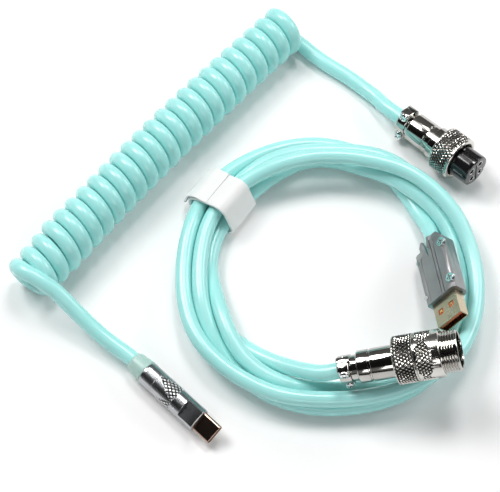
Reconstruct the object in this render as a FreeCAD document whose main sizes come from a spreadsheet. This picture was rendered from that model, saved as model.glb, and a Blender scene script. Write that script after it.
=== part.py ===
import FreeCAD, Part
import math
import os
import Sketcher

# Coiled keyboard cable set: a coiled lead (USB-C plug, round M16 plug), a straight
# lead wound in a ring (round M16 socket, USB-A plug) and a hook-and-loop strap.
# Millimetres, +Z up, resting on the plane z = 0, origin at the middle of the footprint.
# Each connector is built in its own frame, with local Z running from cable to contacts.

Vector = FreeCAD.Vector
UP = Vector(0, 0, 1)
os.makedirs("parts", exist_ok=True)
doc = FreeCAD.newDocument("cable_set")
sheet = doc.addObject("Spreadsheet::Sheet", "dims")
size = {}      # alias -> value, the same entries as the sheet
pieces = []    # (object, label, placement in the world)


def dim(alias, value):
    """Add one named size to the sheet and return its alias."""
    row = len(size) + 1
    sheet.set(f"A{row}", "'" + alias)
    sheet.set(f"B{row}", "%.4f" % value)
    sheet.setAlias(f"B{row}", alias)
    size[alias] = float(value)
    return alias


# ---------------------------------------------------------------- driving sizes
for alias, value in (
    ("cable_radius", 3.15),
    ("coil_radius", 7.3057),       # coil axis to cable centre
    ("coil_pitch", 6.6985),
    ("coil_turns", 23.44),
    ("coil_bow", 1.86),            # sideways bow at the middle of the coil
    ("thread_radius", 8.0),        # M16
    ("cable_bore_radius", 3.5),
    ("wire_radius", 0.45),
    ("usb_c_width", 8.25),
    ("usb_c_height", 2.56),
    ("usb_a_width", 12.0),
    ("usb_a_height", 4.5),
    ("usb_a_window", 2.3),         # side of each square window
    ("shell_wall", 0.3),
    ("strap_clear", 0.35),
    ("strap_thick", 1.2),
    ("strap_width", 16.0),
):
    dim(alias, value)
for axis in ("width", "height"):
    dim("usb_a_inner_" + axis, size["usb_a_" + axis] - 2 * size["shell_wall"])
sheet.recompute()

# moves the layout coordinates to the middle of the footprint
SHIFT = Vector(-0.7083, -10.0109, 0.1300)
WORLD = FreeCAD.Placement(SHIFT, FreeCAD.Rotation())


# ---------------------------------------------------------------- building blocks
def frame(origin, z_direction, y_direction):
    """Placement with local Z along z_direction and local Y as near y_direction as it can be."""
    z = Vector(*z_direction).normalize()
    y = Vector(*y_direction)
    y = (y - z * y.dot(z)).normalize()
    x = y.cross(z)
    base = Vector(*origin) + SHIFT
    return FreeCAD.Placement(FreeCAD.Matrix(
        x.x, y.x, z.x, base.x,
        x.y, y.y, z.y, base.y,
        x.z, y.z, z.z, base.z,
        0, 0, 0, 1))


def keep(obj, label, place):
    """Register a finished piece; it is moved to its place at the end."""
    obj.Label = label
    pieces.append((obj, label, place))


def keep_shape(label, shape, place):
    obj = doc.addObject("Part::Feature", label + "_feature")
    obj.Shape = shape
    keep(obj, label, place)


def bind(obj, prop, alias):
    obj.setExpression(prop, "dims." + alias)


def cylinder(name, radius, start, end, x=0.0, y=0.0):
    """Cylinder along local Z; radius is a number or the alias of a driving size."""
    obj = doc.addObject("Part::Cylinder", name)
    bind(obj, "Radius", radius if isinstance(radius, str) else dim(name + "_rad", radius))
    bind(obj, "Height", dim(name + "_len", end - start))
    obj.Placement = FreeCAD.Placement(Vector(x, y, start), FreeCAD.Rotation())
    return obj


def cross_cylinder(name, radius, start, end, x, z):
    """Cylinder along local Y, from y = start to y = end."""
    obj = cylinder(name, radius, start, end)
    obj.Placement = FreeCAD.Placement(Vector(x, start, z), FreeCAD.Rotation(Vector(1, 0, 0), -90))
    return obj


def box(name, x0, x1, y0, y1, z0, z1):
    obj = doc.addObject("Part::Box", name)
    bind(obj, "Length", dim(name + "_dx", x1 - x0))
    bind(obj, "Width", dim(name + "_dy", y1 - y0))
    bind(obj, "Height", dim(name + "_dz", z1 - z0))
    obj.Placement = FreeCAD.Placement(Vector(x0, y0, z0), FreeCAD.Rotation())
    return obj


def fuse(name, objs):
    if len(objs) == 1:
        return objs[0]
    obj = doc.addObject("Part::MultiFuse", name)
    obj.Shapes = objs
    return obj


def cut(name, base, tools):
    obj = doc.addObject("Part::Cut", name)
    obj.Base = base
    obj.Tool = fuse(name + "_tool", tools)
    return obj


def stack(name, steps):
    """One cylinder on local Z for each step (start, end, radius)."""
    return [cylinder(f"{name}_{letter}", radius, start, end)
            for letter, (start, end, radius) in zip("abcdef", steps)]


def turned(label, place, outer_steps, bore_steps):
    """Turned piece: stacked outer steps less stacked bores."""
    solid = fuse(label + "_solid", stack(label + "_outer", outer_steps))
    keep(cut(label + "_turned", solid, stack(label + "_inner", bore_steps)), label, place)


def on_diagonals(radius):
    """Four (x, y) spots, one on each diagonal."""
    angles = [math.pi / 4 + k * math.pi / 2 for k in range(4)]
    return [(radius * math.cos(angle), radius * math.sin(angle)) for angle in angles]


def four_cylinders(name, radius, start, end, spots):
    return [cylinder(f"{name}_{letter}", radius, start, end, x, y)
            for letter, (x, y) in zip("abcd", spots)]


def cross_screw(name, x, z, head, shank, recess):
    """Cross-head screw along local Y.

    head and shank are (start, end, radius); recess is (floor, top, half width of its arms).
    """
    arm = 1.25
    floor, top, half = recess
    solid = fuse(name + "_sum", [
        cross_cylinder(name + "_head", head[2], head[0], head[1], x, z),
        cross_cylinder(name + "_shank", shank[2], shank[0], shank[1], x, z)])
    return cut(name, solid, [
        box(name + "_slot", x - half, x + half, floor, top, z - arm, z + arm),
        box(name + "_cross", x - arm, x + arm, floor, top, z - half, z + half)])


# ---------------------------------------------------------------- PartDesign helpers
def sketch_on(body, role, name, z0=0.0):
    """Sketch on an origin plane of the body, raised by z0."""
    plane = [item for item in body.Origin.OriginFeatures if item.Role == role][0]
    sketch = body.newObject("Sketcher::SketchObject", name)
    sketch.AttachmentSupport = [(plane, "")]
    sketch.MapMode = "FlatFace"
    sketch.AttachmentOffset = FreeCAD.Placement(Vector(0, 0, z0), FreeCAD.Rotation())
    return sketch


def join_ends(sketch, first):
    """Close a loop of four edges, the first of which has index first."""
    for i in range(4):
        sketch.addConstraint(
            Sketcher.Constraint("Coincident", first + i, 2, first + (i + 1) % 4, 1))


def rectangle(sketch, x0, y0, width_alias, height_alias):
    """Rectangle from its low corner, its width and height bound to the sheet."""
    first = sketch.GeometryCount
    width, height = size[width_alias], size[height_alias]
    corners = [Vector(x0, y0, 0), Vector(x0 + width, y0, 0),
               Vector(x0 + width, y0 + height, 0), Vector(x0, y0 + height, 0)]
    for i in range(4):
        sketch.addGeometry(Part.LineSegment(corners[i], corners[(i + 1) % 4]), False)
    join_ends(sketch, first)
    for i, direction in ((0, "Horizontal"), (2, "Horizontal"), (1, "Vertical"), (3, "Vertical")):
        sketch.addConstraint(Sketcher.Constraint(direction, first + i))
    for kind, edge, alias in (("DistanceX", first, width_alias),
                              ("DistanceY", first + 1, height_alias)):
        sketch.addConstraint(Sketcher.Constraint(kind, edge, 1, edge, 2, size[alias]))
        bind(sketch, "Constraints[%d]" % (sketch.ConstraintCount - 1), alias)
    sketch.addConstraint(Sketcher.Constraint("DistanceX", -1, 1, first, 1, x0))
    sketch.addConstraint(Sketcher.Constraint("DistanceY", -1, 1, first, 1, y0))


def centred_rectangle(sketch, width_alias, height_alias):
    rectangle(sketch, -size[width_alias] / 2, -size[height_alias] / 2, width_alias, height_alias)


def stadium(sketch, width, height):
    """Stadium outline centred on the origin: two lines and two half circles."""
    first = sketch.GeometryCount
    radius = height / 2.0
    centre = width / 2.0 - radius
    quarter = math.pi / 2

    def end_arc(x, start, end):
        circle = Part.Circle(Vector(x, 0, 0), UP, radius)
        sketch.addGeometry(Part.ArcOfCircle(circle, start, end), False)

    def line(x0, x1, y):
        sketch.addGeometry(Part.LineSegment(Vector(x0, y, 0), Vector(x1, y, 0)), False)

    line(-centre, centre, -radius)
    end_arc(centre, -quarter, quarter)
    line(centre, -centre, radius)
    end_arc(-centre, quarter, 3 * quarter)
    join_ends(sketch, first)


def pad(body, name, sketch, length_alias):
    feature = body.newObject("PartDesign::Pad", name)
    feature.Profile = sketch
    bind(feature, "Length", length_alias)


def pocket(body, name, sketch, length_alias):
    feature = body.newObject("PartDesign::Pocket", name)
    feature.Profile = sketch
    bind(feature, "Length", length_alias)
    return feature


def padded_box(label, place, x0, x1, y0, y1, z0, z1):
    """Piece made of one rectangular pad, such as a circuit board."""
    body = doc.addObject("PartDesign::Body", label + "_body")
    sketch = sketch_on(body, "XY_Plane", label + "_outline", z0)
    rectangle(sketch, x0, y0, dim(label + "_wide", x1 - x0), dim(label + "_high", y1 - y0))
    pad(body, label + "_pad", sketch, dim(label + "_len", z1 - z0))
    keep(body, label, place)


def shell_body(label, z0, length, draw, outer, inner):
    """Open-ended metal shell; draw makes an outline from the sizes in outer or inner."""
    body = doc.addObject("PartDesign::Body", label + "_body")
    length_alias = dim(label + "_len", length)
    outline = sketch_on(body, "XY_Plane", label + "_outline", z0)
    draw(outline, *outer)
    pad(body, label + "_pad", outline, length_alias)
    inside = sketch_on(body, "XY_Plane", label + "_inside", z0)
    draw(inside, *inner)
    doc.recompute()
    solid_volume = body.Shape.Volume
    # a pocket runs against the sketch normal, so it is reversed to follow the pad
    pocket(body, label + "_pocket", inside, length_alias).Reversed = True
    doc.recompute()
    assert body.Shape.Volume < 0.6 * solid_volume
    return body


# ---------------------------------------------------------------- cables
def carried_normals(points, tangents):
    """Normals carried along the spine without twist, by double reflection."""
    start = tangents[0]
    normals = [(UP - start * UP.dot(start)).normalize()]
    for i in range(len(points) - 1):
        chord = points[i + 1] - points[i]
        scale = 2 / chord.dot(chord)
        normal = normals[i] - chord * (scale * chord.dot(normals[i]))
        tangent = tangents[i] - chord * (scale * chord.dot(tangents[i]))
        turn = tangents[i + 1] - tangent
        normal = normal - turn * (2 / turn.dot(turn) * turn.dot(normal))
        along = tangents[i + 1]
        normals.append((normal - along * normal.dot(along)).normalize())
    return normals


def end_cap(face, centre, radius):
    """Flat cap on the ring of the face that lies at radius from centre."""
    def is_ring(edge):
        first, span = edge.FirstParameter, edge.LastParameter - edge.FirstParameter
        return all(abs((edge.valueAt(first + part * span) - centre).Length - radius)
                   < 0.02 * radius for part in (0.13, 0.5, 0.77))

    rings = [edge for edge in face.Edges if is_ring(edge)]
    return Part.Face(Part.Wire([rings[0]]))


def tube(path, radius, step=6):
    """Round solid along a spline, skinned in faces of step spans that share their rings."""
    spine = Part.BSplineCurve()
    spine.interpolate(Points=[Vector(*point) for point in path])
    knots = list(spine.getKnots())
    points = [spine.value(knot) for knot in knots]
    tangents = [spine.tangent(knot)[0].normalize() for knot in knots]
    normals = carried_normals(points, tangents)

    # a circle as a rational curve: nine poles, every second one a corner of a square
    corner_weight = math.sqrt(0.5)
    weights = [1.0 if k % 2 == 0 else corner_weight for k in range(9)]
    tracks = []
    for k in range(9):
        angle = k * math.pi / 4
        reach = radius / weights[k]
        track = Part.BSplineCurve()
        track.interpolate(
            Points=[point + normal * (reach * math.cos(angle))
                    + tangent.cross(normal) * (reach * math.sin(angle))
                    for point, tangent, normal in zip(points, tangents, normals)],
            Parameters=knots)
        tracks.append(track)
    rows = tracks[0].NbPoles
    poles = [[track.getPole(i + 1) for track in tracks] for i in range(rows)]
    skin = Part.BSplineSurface()
    skin.buildFromPolesMultsKnots(
        poles, tracks[0].getMultiplicities(), [3, 2, 2, 2, 3],
        tracks[0].getKnots(), [0, 1, 2, 3, 4],
        False, False, tracks[0].Degree, 2, [weights] * rows)

    faces = []
    start, last = 0, len(knots) - 1
    while start < last:
        end = min(start + step, last)
        if last - end < 3:    # a short remainder joins the last face
            end = last
        patch = skin.copy()
        patch.segment(knots[start], knots[end], 0, 4)
        faces.append(patch.toShape())
        start = end
    caps = [end_cap(faces[0], points[0], radius), end_cap(faces[-1], points[-1], radius)]
    shell = Part.Shell(faces + caps)
    # sewing, fixing and reversing guard against open seams and an inside-out shell
    if not shell.isClosed():
        shell.sewShape()
    solid = Part.Solid(shell)
    if not solid.isValid():
        solid.fix(1e-4, 1e-4, 1e-4)
    if solid.Volume < 0:
        solid.reverse()
    return solid


# centre line (x, y, z) of the straight lead, from the round socket to the USB-A plug
LOOP = [
    (38.06, -60.65, 17.95), (32.33, -60.99, 16.20), (28.32, -61.23, 14.97), (24.01, -60.25, 13.20),
    (16.33, -57.06, 9.75), (8.84, -53.11, 6.66), (1.42, -48.50, 4.46), (-5.60, -42.95, 3.38),
    (-11.86, -36.46, 3.17), (-16.98, -29.01, 3.17), (-20.47, -20.68, 3.26), (-21.93, -11.75, 3.65),
    (-21.37, -2.73, 4.23), (-18.55, 5.86, 4.54), (-14.19, 13.80, 4.61), (-8.70, 20.98, 5.15),
    (-2.39, 27.34, 6.42), (4.81, 32.48, 7.98), (13.03, 35.90, 9.12), (21.85, 37.74, 9.57),
    (30.90, 38.36, 9.57), (39.96, 38.05, 9.63), (48.91, 36.64, 9.71), (57.41, 33.60, 9.07),
    (64.79, 28.85, 6.91), (71.18, 22.78, 4.85), (76.67, 15.70, 3.71), (81.22, 7.91, 3.24),
    (84.71, -0.42, 3.17), (86.58, -9.25, 3.17), (86.88, -18.26, 3.17), (86.16, -27.23, 3.17),
    (84.14, -35.97, 3.17), (80.00, -43.86, 3.17), (73.40, -49.81, 3.17), (65.84, -54.60, 3.17),
    (57.95, -58.79, 3.17), (49.50, -61.67, 3.32), (40.72, -63.18, 3.92), (31.87, -63.88, 4.94),
    (23.01, -63.91, 6.05), (14.25, -62.49, 6.97), (6.05, -59.14, 7.90), (-0.93, -53.69, 8.71),
    (-6.10, -46.48, 9.39), (-9.60, -38.29, 9.60), (-12.11, -29.82, 8.41), (-14.25, -21.44, 6.31),
    (-15.61, -12.85, 4.82), (-15.06, -4.06, 4.43), (-12.27, 4.36, 4.54), (-7.67, 11.97, 4.59),
    (-2.02, 18.85, 4.57), (4.26, 25.17, 4.42), (11.12, 30.86, 3.94), (18.72, 35.48, 3.37),
    (27.28, 37.83, 3.18), (36.09, 36.92, 3.33), (44.16, 33.51, 4.81), (51.55, 29.34, 7.63),
    (58.98, 24.68, 9.34), (66.11, 19.25, 9.45), (72.52, 13.01, 8.77), (77.39, 5.54, 7.87),
    (80.33, -2.92, 7.19), (81.89, -11.73, 7.29), (82.34, -20.67, 7.84), (81.69, -29.59, 8.21),
    (79.64, -38.29, 8.69), (76.23, -46.56, 9.42), (71.90, -54.39, 8.79), (66.09, -60.83, 6.55),
    (58.51, -65.24, 4.67), (50.03, -68.09, 3.61), (41.21, -69.91, 3.21), (32.24, -70.71, 3.17),
    (23.25, -70.21, 3.17), (14.49, -68.19, 3.17), (6.24, -64.60, 3.26), (-1.14, -59.50, 3.78),
    (-7.46, -53.17, 4.78), (-12.55, -45.88, 6.19), (-16.30, -37.88, 7.96), (-18.66, -29.31, 9.38),
    (-19.61, -20.36, 9.75), (-19.45, -11.36, 9.86), (-18.28, -2.44, 10.10), (-15.67, 6.16, 10.33),
    (-11.13, 13.89, 10.77), (-4.85, 20.22, 11.77), (2.53, 25.16, 13.06), (10.58, 28.96, 13.97),
    (19.14, 31.58, 14.31), (28.04, 32.89, 14.53), (37.05, 32.82, 14.66), (45.98, 31.53, 14.77),
    (54.70, 29.19, 15.05), (62.96, 25.54, 15.21), (70.34, 20.34, 14.59), (76.66, 13.91, 13.64),
    (81.71, 6.46, 12.57), (85.17, -1.83, 11.31), (87.39, -10.60, 10.47), (88.28, -19.64, 10.14),
    (87.75, -28.72, 10.37), (85.91, -37.61, 11.20), (82.61, -46.00, 12.51), (77.69, -53.55, 13.81),
    (70.92, -59.62, 13.82), (63.00, -63.78, 12.12), (54.52, -66.68, 10.55), (45.68, -68.56, 9.70),
    (36.66, -69.52, 9.40), (27.59, -69.74, 9.43), (18.55, -69.19, 9.51), (9.68, -67.37, 9.56),
    (1.36, -63.82, 9.55), (-6.33, -59.06, 9.65), (-13.23, -53.20, 9.74), (-18.92, -46.19, 9.66),
    (-22.91, -38.09, 9.37), (-25.11, -29.32, 9.07), (-26.01, -20.32, 8.97), (-25.88, -11.27, 9.22),
    (-24.75, -2.30, 9.66), (-22.63, 6.48, 9.45), (-19.48, 14.89, 8.38), (-15.19, 22.72, 7.00),
    (-9.44, 29.57, 5.71), (-2.47, 35.27, 4.73), (5.29, 39.88, 3.90), (13.70, 43.16, 3.34),
    (22.58, 44.75, 3.18), (31.60, 44.46, 3.17), (40.35, 42.24, 3.17), (48.38, 38.09, 3.17),
    (55.22, 32.20, 3.17), (60.80, 25.08, 3.17), (65.29, 17.25, 3.37), (69.12, 9.20, 4.82),
    (71.72, 2.46, 6.81), (72.25, -1.85, 7.99), (72.96, -7.60, 9.56), (73.55, -12.38, 10.87),
]
# centre line (x, y, z) of the coiled lead, from the USB-C plug to the coil
USB_C_TAIL = [
    (-36.55, -59.70, 5.06), (-40.33, -56.07, 5.07), (-43.99, -52.32, 5.04), (-47.98, -48.93, 5.13),
    (-52.20, -45.85, 5.43), (-56.33, -42.68, 6.06), (-60.29, -39.40, 7.08), (-64.12, -36.15, 8.55),
    (-67.84, -32.98, 10.43), (-71.45, -29.90, 12.66), (-75.20, -27.00, 14.90),
    (-79.37, -24.41, 16.70), (-83.83, -21.88, 17.75),
]
# and from the coil to the round plug
PLUG_TAIL = [
    (20.20, 95.08, 3.17), (24.09, 91.39, 3.17), (27.99, 87.71, 3.17), (32.09, 84.25, 3.25),
    (36.42, 81.08, 3.23), (40.72, 77.88, 3.19), (44.82, 74.42, 3.24), (48.78, 70.80, 3.44),
    (52.46, 66.97, 4.15), (55.75, 62.35, 5.42), (59.95, 57.84, 6.52), (63.60, 54.31, 7.05),
    (67.52, 50.51, 7.63),
]


def ease(fraction):
    """Smooth step from 0 to 1."""
    fraction = min(1.0, max(0.0, fraction))
    return fraction * fraction * (3 - 2 * fraction)


def coil_points(per_turn=8):
    """Close-wound coil lying on the table, its axis slightly bowed.

    The points run from the round plug's end to the USB-C end, where the turns are wider.
    """
    start = Vector(-81.2015, -14.3633, 0)
    axis = Vector(0.65051161, 0.75949631, 0)
    side = Vector(-axis.y, axis.x, 0)
    table_gap = 0.02
    pitch, turns = size["coil_pitch"], size["coil_turns"]
    length = 21 * pitch
    points = []
    count = int(turns * per_turn)
    for i in range(count + 1):
        angle = 2 * math.pi * (turns * i / count - 1.25)
        along = length - pitch * angle / (2 * math.pi)
        bow = size["coil_bow"] * (1 - (2 * along / length - 1) ** 2)
        widening = 0.3 * (1 - ease((along - 90.0) / 40.0)) + 0.6 * (1 - ease(along / 34.0))
        radius = size["coil_radius"] + ease((along - 2.0) / 14.0) * widening
        centre = (start + axis * along + side * bow
                  + UP * (radius + size["cable_radius"] + table_gap))
        point = centre + (side * math.cos(angle) + UP * math.sin(angle)) * radius
        points.append((point.x, point.y, point.z))
    return points


coil_path = USB_C_TAIL + coil_points()[::-1] + PLUG_TAIL
keep_shape("coil_cable", tube(coil_path, size["cable_radius"]), WORLD)
keep_shape("straight_cable", tube(LOOP, size["cable_radius"]), WORLD)


def wires(label, place, z0, z1, ends, start_radius=1.25):
    """Four insulated conductors from the cut end of the cable to their contacts."""
    lead = UP * ((z1 - z0) * 0.3)
    shapes = []
    for x, y in ends:
        angle = math.atan2(y, x)
        start = Vector(start_radius * math.cos(angle), start_radius * math.sin(angle), z0)
        end = Vector(x, y, z1)
        drift = Vector(x - start.x, y - start.y, 0) * 0.12
        curve = Part.BSplineCurve()
        curve.interpolate(Points=[start, start + lead + drift, end - lead - drift, end])
        first = curve.FirstParameter
        circle = Part.Circle(curve.value(first), curve.tangent(first)[0], size["wire_radius"])
        ring = Part.Wire([circle.toShape()])
        shapes.append(Part.Wire([curve.toShape()]).makePipeShell([ring], True, False))
    keep_shape(label, Part.makeCompound(shapes), place)


# ---------------------------------------------------------------- cable clamp, both M16 ends
def clamp_set(tag, place, z0, z1, outer_steps, bore_steps, set_screw_z):
    """Backshell with half a cable saddle from z0 to z1, clamp bar, two screws, set screw."""
    middle = (z0 + z1) / 2
    saddle_radius = 5.4
    ear_x = 6.6         # half width over the ears
    split = 0.3         # each half stops this far from local y = 0
    sides = (("minus", -4.9), ("plus", 4.9))    # screws on the -x and +x sides
    ear_z = (z0 + 0.4, z1 - 0.4)

    # backshell, with its saddle on the -y side
    saddle = cylinder(tag + "_saddle", saddle_radius, z0, z1)
    ears = box(tag + "_saddle_ears", -ear_x, ear_x, -2.5, -split, *ear_z)
    upper = box(tag + "_saddle_upper", -9, 9, -split, 9, z0 - 1, z1)
    half = cut(tag + "_saddle_half", fuse(tag + "_saddle_sum", [saddle, ears]), [upper])
    solid = fuse(tag + "_backshell_sum", [half] + stack(tag + "_shell", outer_steps))
    tools = stack(tag + "_bore", bore_steps)
    for side, x in sides:
        tools.append(cross_cylinder(f"{tag}_tap_{side}", 0.95, -3.2, 0.0, x, middle))
    tools.append(cross_cylinder(tag + "_set_tap", 1.03, 4.0, 7.5, 0.0, set_screw_z))
    keep(cut(tag + "_backshell_cut", solid, tools), tag + "_backshell", place)

    # clamp bar on the +y side
    ring = cylinder(tag + "_bar_ring", saddle_radius, z0, z1 - 0.15)
    ears = box(tag + "_bar_ears", -ear_x, ear_x, split, 3.9, *ear_z)
    tools = [box(tag + "_bar_lower", -9, 9, -9, split, z0 - 1, z1 + 1),
             cylinder(tag + "_bar_bore", "cable_bore_radius", z0 - 1, z1 + 1)]
    for side, x in sides:
        tools.append(cross_cylinder(f"{tag}_bar_hole_{side}", 1.1, 0.0, 4.5, x, middle))
        tools.append(cross_cylinder(f"{tag}_bar_seat_{side}", 2.05, 3.9, 7.0, x, middle))
    keep(cut(tag + "_bar_cut", fuse(tag + "_bar_sum", [ring, ears]), tools),
         tag + "_clamp_bar", place)

    screws = [cross_screw(f"{tag}_screw_{side}", x, middle, head=(3.95, 5.4, 1.9),
                          shank=(-2.7, 4.0, 0.9), recess=(4.8, 5.8, 0.28))
              for side, x in sides]
    keep(fuse(tag + "_screws_both", screws), tag + "_clamp_screws", place)

    rod = cross_cylinder(tag + "_set_body", 1.0, 4.75, 6.1, 0.0, set_screw_z)
    socket = cross_cylinder(tag + "_set_socket", 0.45, 5.4, 7.0, 0.0, set_screw_z)
    keep(cut(tag + "_set_cut", rod, [socket]), tag + "_set_screw", place)


# ---------------------------------------------------------------- round socket, outer M16 thread
SOCKET_ORIGIN = (32.3299, -60.9936, 16.2)
SOCKET_AXIS = (0.9546215, 0.05671497, 0.2923717)
SOCKET = frame(SOCKET_ORIGIN, SOCKET_AXIS, (0, 0, 1))
SOCKET_CLAMP = frame(SOCKET_ORIGIN, SOCKET_AXIS, (0, -1, 0))

clamp_set("socket", SOCKET_CLAMP, 1.5, 6.4,
          outer_steps=[(6.4, 8.8, 5.0), (8.8, 13.5, 6.25), (13.5, 14.1, 5.9), (14.1, 25.0, 6.25)],
          bore_steps=[(-1.0, 9.3, "cable_bore_radius"), (9.2, 26.0, 4.7)],
          set_screw_z=18.3)
turned("socket_sleeve", SOCKET, [(23.0, 41.0, 9.2)], [(20.0, 42.0, 8.03)])
turned("socket_threaded_shell", SOCKET, [(23.1, 47.5, "thread_radius")],
       [(20.0, 27.0, 6.3), (26.9, 48.0, 6.9)])

pin_spots = on_diagonals(3.4)
disc = cylinder("socket_insulator_disc", 6.85, 35.5, 42.5)
keyway = box("socket_insulator_key", -1.0, 1.0, 5.6, 8.0, 35.0, 43.0)
pin_holes = four_cylinders("socket_pin_hole", 0.8, 35.0, 43.0, pin_spots)
keep(cut("socket_insulator_cut", disc, [keyway] + pin_holes), "socket_insulator", SOCKET)
keep(fuse("socket_pins_all", four_cylinders("socket_pin", 0.77, 35.0, 46.2, pin_spots)),
     "socket_pins", SOCKET)
wires("socket_wires", SOCKET, 6.3, 34.8, pin_spots)

# ---------------------------------------------------------------- round plug with coupling nut
PLUG_ORIGIN = (63.2391, 54.6601, 7.0)
PLUG_AXIS = (0.714149, -0.6921506, 0.1044925)
PLUG = frame(PLUG_ORIGIN, PLUG_AXIS, (0, 0, 1))
PLUG_CLAMP = frame(PLUG_ORIGIN, PLUG_AXIS, (-0.67965, -0.6499, 0.34015))

clamp_set("plug", PLUG_CLAMP, -0.5, 4.3,
          outer_steps=[(4.3, 5.3, 5.0), (5.3, 13.9, 6.2), (13.9, 14.5, 5.85), (14.5, 19.5, 6.2)],
          bore_steps=[(-1.5, 6.9, "cable_bore_radius"), (6.8, 20.5, 4.7)],
          set_screw_z=9.4)
turned("plug_front_shell", PLUG, [(17.0, 26.8, 6.9), (26.8, 28.3, 7.35)], [(16.0, 29.0, 6.25)])
turned("plug_snap_ring", PLUG, [(23.2, 24.0, 8.1)], [(23.0, 24.5, 7.0)])
turned("plug_coupling_nut", PLUG, [(20.6, 30.2, 9.25)],
       [(20.0, 22.7, 7.02), (22.6, 24.6, 8.15), (24.5, 31.5, 7.5)])

contact_spots = on_diagonals(3.5)
insulator = fuse("plug_insulator_body", [cylinder("plug_insulator_rod", 6.2, 20.6, 38.5),
                                         cylinder("plug_insulator_nose", 6.7, 28.6, 38.5)])
tools = four_cylinders("plug_contact_hole", 1.05, 20.0, 39.0, contact_spots)
tools.append(box("plug_key_slot", -1.0, 1.0, 5.6, 7.0, 29.0, 39.0))
keep(cut("plug_insulator_cut", insulator, tools), "plug_insulator", PLUG)
contacts = fuse("plug_contacts_all",
                four_cylinders("plug_contact", 1.0, 20.2, 37.3, contact_spots))
bores = four_cylinders("plug_contact_bore", 0.78, 26.0, 38.0, contact_spots)
keep(cut("plug_contacts_cut", contacts, bores), "plug_contacts", PLUG)
wires("plug_wires", PLUG, 6.3, 20.0, contact_spots)

# ---------------------------------------------------------------- USB-C plug
USB_C = frame((-39.4141, -56.9062, 5.06), (0.7161081, -0.6979894, 0.0),
              (-0.2615, -0.2682, 0.9272))

# strain relief, widening towards the sleeve
relief = doc.addObject("Part::Cone", "usb_c_relief_cone")
bind(relief, "Radius1", dim("usb_c_relief_rear_radius", 3.95))
bind(relief, "Radius2", dim("usb_c_relief_front_radius", 4.8))
bind(relief, "Height", dim("usb_c_relief_len", 6.95))
relief.Placement = FreeCAD.Placement(Vector(0, 0, -7.0), FreeCAD.Rotation())
relief_bore = cylinder("usb_c_relief_bore", "cable_bore_radius", -9, 1)
keep(cut("usb_c_relief_cut", relief, [relief_bore]), "usb_c_strain_relief", USB_C)

# round sleeve with two flats at its front
keep(cut("usb_c_sleeve_cut", cylinder("usb_c_sleeve_rod", 4.8, 0.0, 28.4), [
    cylinder("usb_c_sleeve_bore", 4.25, -1.0, 20.2),
    box("usb_c_sleeve_mouth", -4.2, 4.2, -1.36, 1.36, 19.5, 31.0),
    box("usb_c_flat_top", -6, 6, 3.25, 6, 21.1, 31.0),
    box("usb_c_flat_low", -6, 6, -6, -3.25, 21.1, 31.0)]), "usb_c_sleeve", USB_C)
turned("usb_c_crimp_ring", USB_C, [(0.4, 3.8, 3.95)], [(0.0, 4.5, "cable_bore_radius")])

outer_size = (size["usb_c_width"], size["usb_c_height"])
inner_size = [side - 2 * size["shell_wall"] for side in outer_size]
keep(shell_body("usb_c_shell", 21.9, 14.7, stadium, outer_size, inner_size),
     "usb_c_shell", USB_C)

keep(fuse("usb_c_insulator_sum", [
    box("usb_c_insulator_base", -3.1, 3.1, -0.88, 0.88, 22.0, 28.3),
    box("usb_c_insulator_tongue", -3.05, 3.05, -0.33, 0.33, 28.3, 35.6)]),
    "usb_c_insulator", USB_C)

# twelve contacts on each face of the tongue
strips = []
for i, letter in enumerate("abcdefghijkl"):
    x = -2.75 + 0.5 * i
    for face, y0, y1 in (("top", 0.335, 0.42), ("low", -0.42, -0.335)):
        strips.append(box(f"usb_c_contact_{face}_{letter}", x - 0.13, x + 0.13, y0, y1, 28.6, 35.2))
keep(fuse("usb_c_contacts_all", strips), "usb_c_contacts", USB_C)
padded_box("usb_c_circuit_board", USB_C, -3.2, 3.2, -0.45, 0.45, 8.0, 21.7)
wires("usb_c_wires", USB_C, 4.3, 10.5,
      [(1.9, 0.95), (-1.9, 0.95), (-1.9, -0.95), (1.9, -0.95)], start_radius=1.6)

# ---------------------------------------------------------------- USB-A plug
USB_A = frame((72.8448, -6.6378, 9.3), (0.11809351, -0.95775837, 0.26220762),
              (-0.7635045, 0.0812561, 0.6406702))
# large screws stand at x = SCREW_X, small ones at x = -SCREW_X
SCREW_X = 6.85
# (name, z of the large screw, z of the small screw)
USB_A_SCREWS = (("rear", 2.9, 3.8), ("front", 21.4, 21.9))


def usb_a_half(label, sign):
    """Housing half on the +y side (sign 1, with screw seats) or the -y side (sign -1)."""
    def span(near, far):
        return (near, far) if sign > 0 else (-far, -near)

    block = box(label + "_block", -7.6, 7.6, *span(0.03, 4.0), 0.0, 25.5)
    boss = cylinder(label + "_boss", 4.4, -4.5, 0.5)
    trim = box(label + "_boss_trim", -6, 6, *span(-6.0, 0.03), -5, 1)
    half_boss = cut(label + "_boss_half", boss, [trim])
    tools = [cylinder(label + "_cable_bore", "cable_bore_radius", -5.5, 2.0),
             box(label + "_cavity", -4.9, 4.7, *span(-0.5, 3.45), 1.6, 17.8),
             box(label + "_mouth", -6.05, 6.05, *span(-0.5, 2.3), 17.5, 26.0)]
    hole = span(-0.5, 5.0 if sign > 0 else 3.2)
    for end, z, small_z in USB_A_SCREWS:
        tools.append(cross_cylinder(f"{label}_hole_{end}", 0.55, *hole, SCREW_X, z))
        tools.append(cross_cylinder(f"{label}_small_hole_{end}", 0.45, *hole, -SCREW_X, small_z))
        if sign > 0:
            tools.append(cross_cylinder(f"{label}_seat_{end}", 2.0, 3.5, 5.0, SCREW_X, z))
            tools.append(cross_cylinder(f"{label}_small_seat_{end}", 1.0, 3.5, 5.0,
                                        -SCREW_X, small_z))
    keep(cut(label + "_cut", fuse(label + "_sum", [block, half_boss]), tools), label, USB_A)


usb_a_half("usb_a_housing_top", 1)
usb_a_half("usb_a_housing_bottom", -1)

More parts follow.
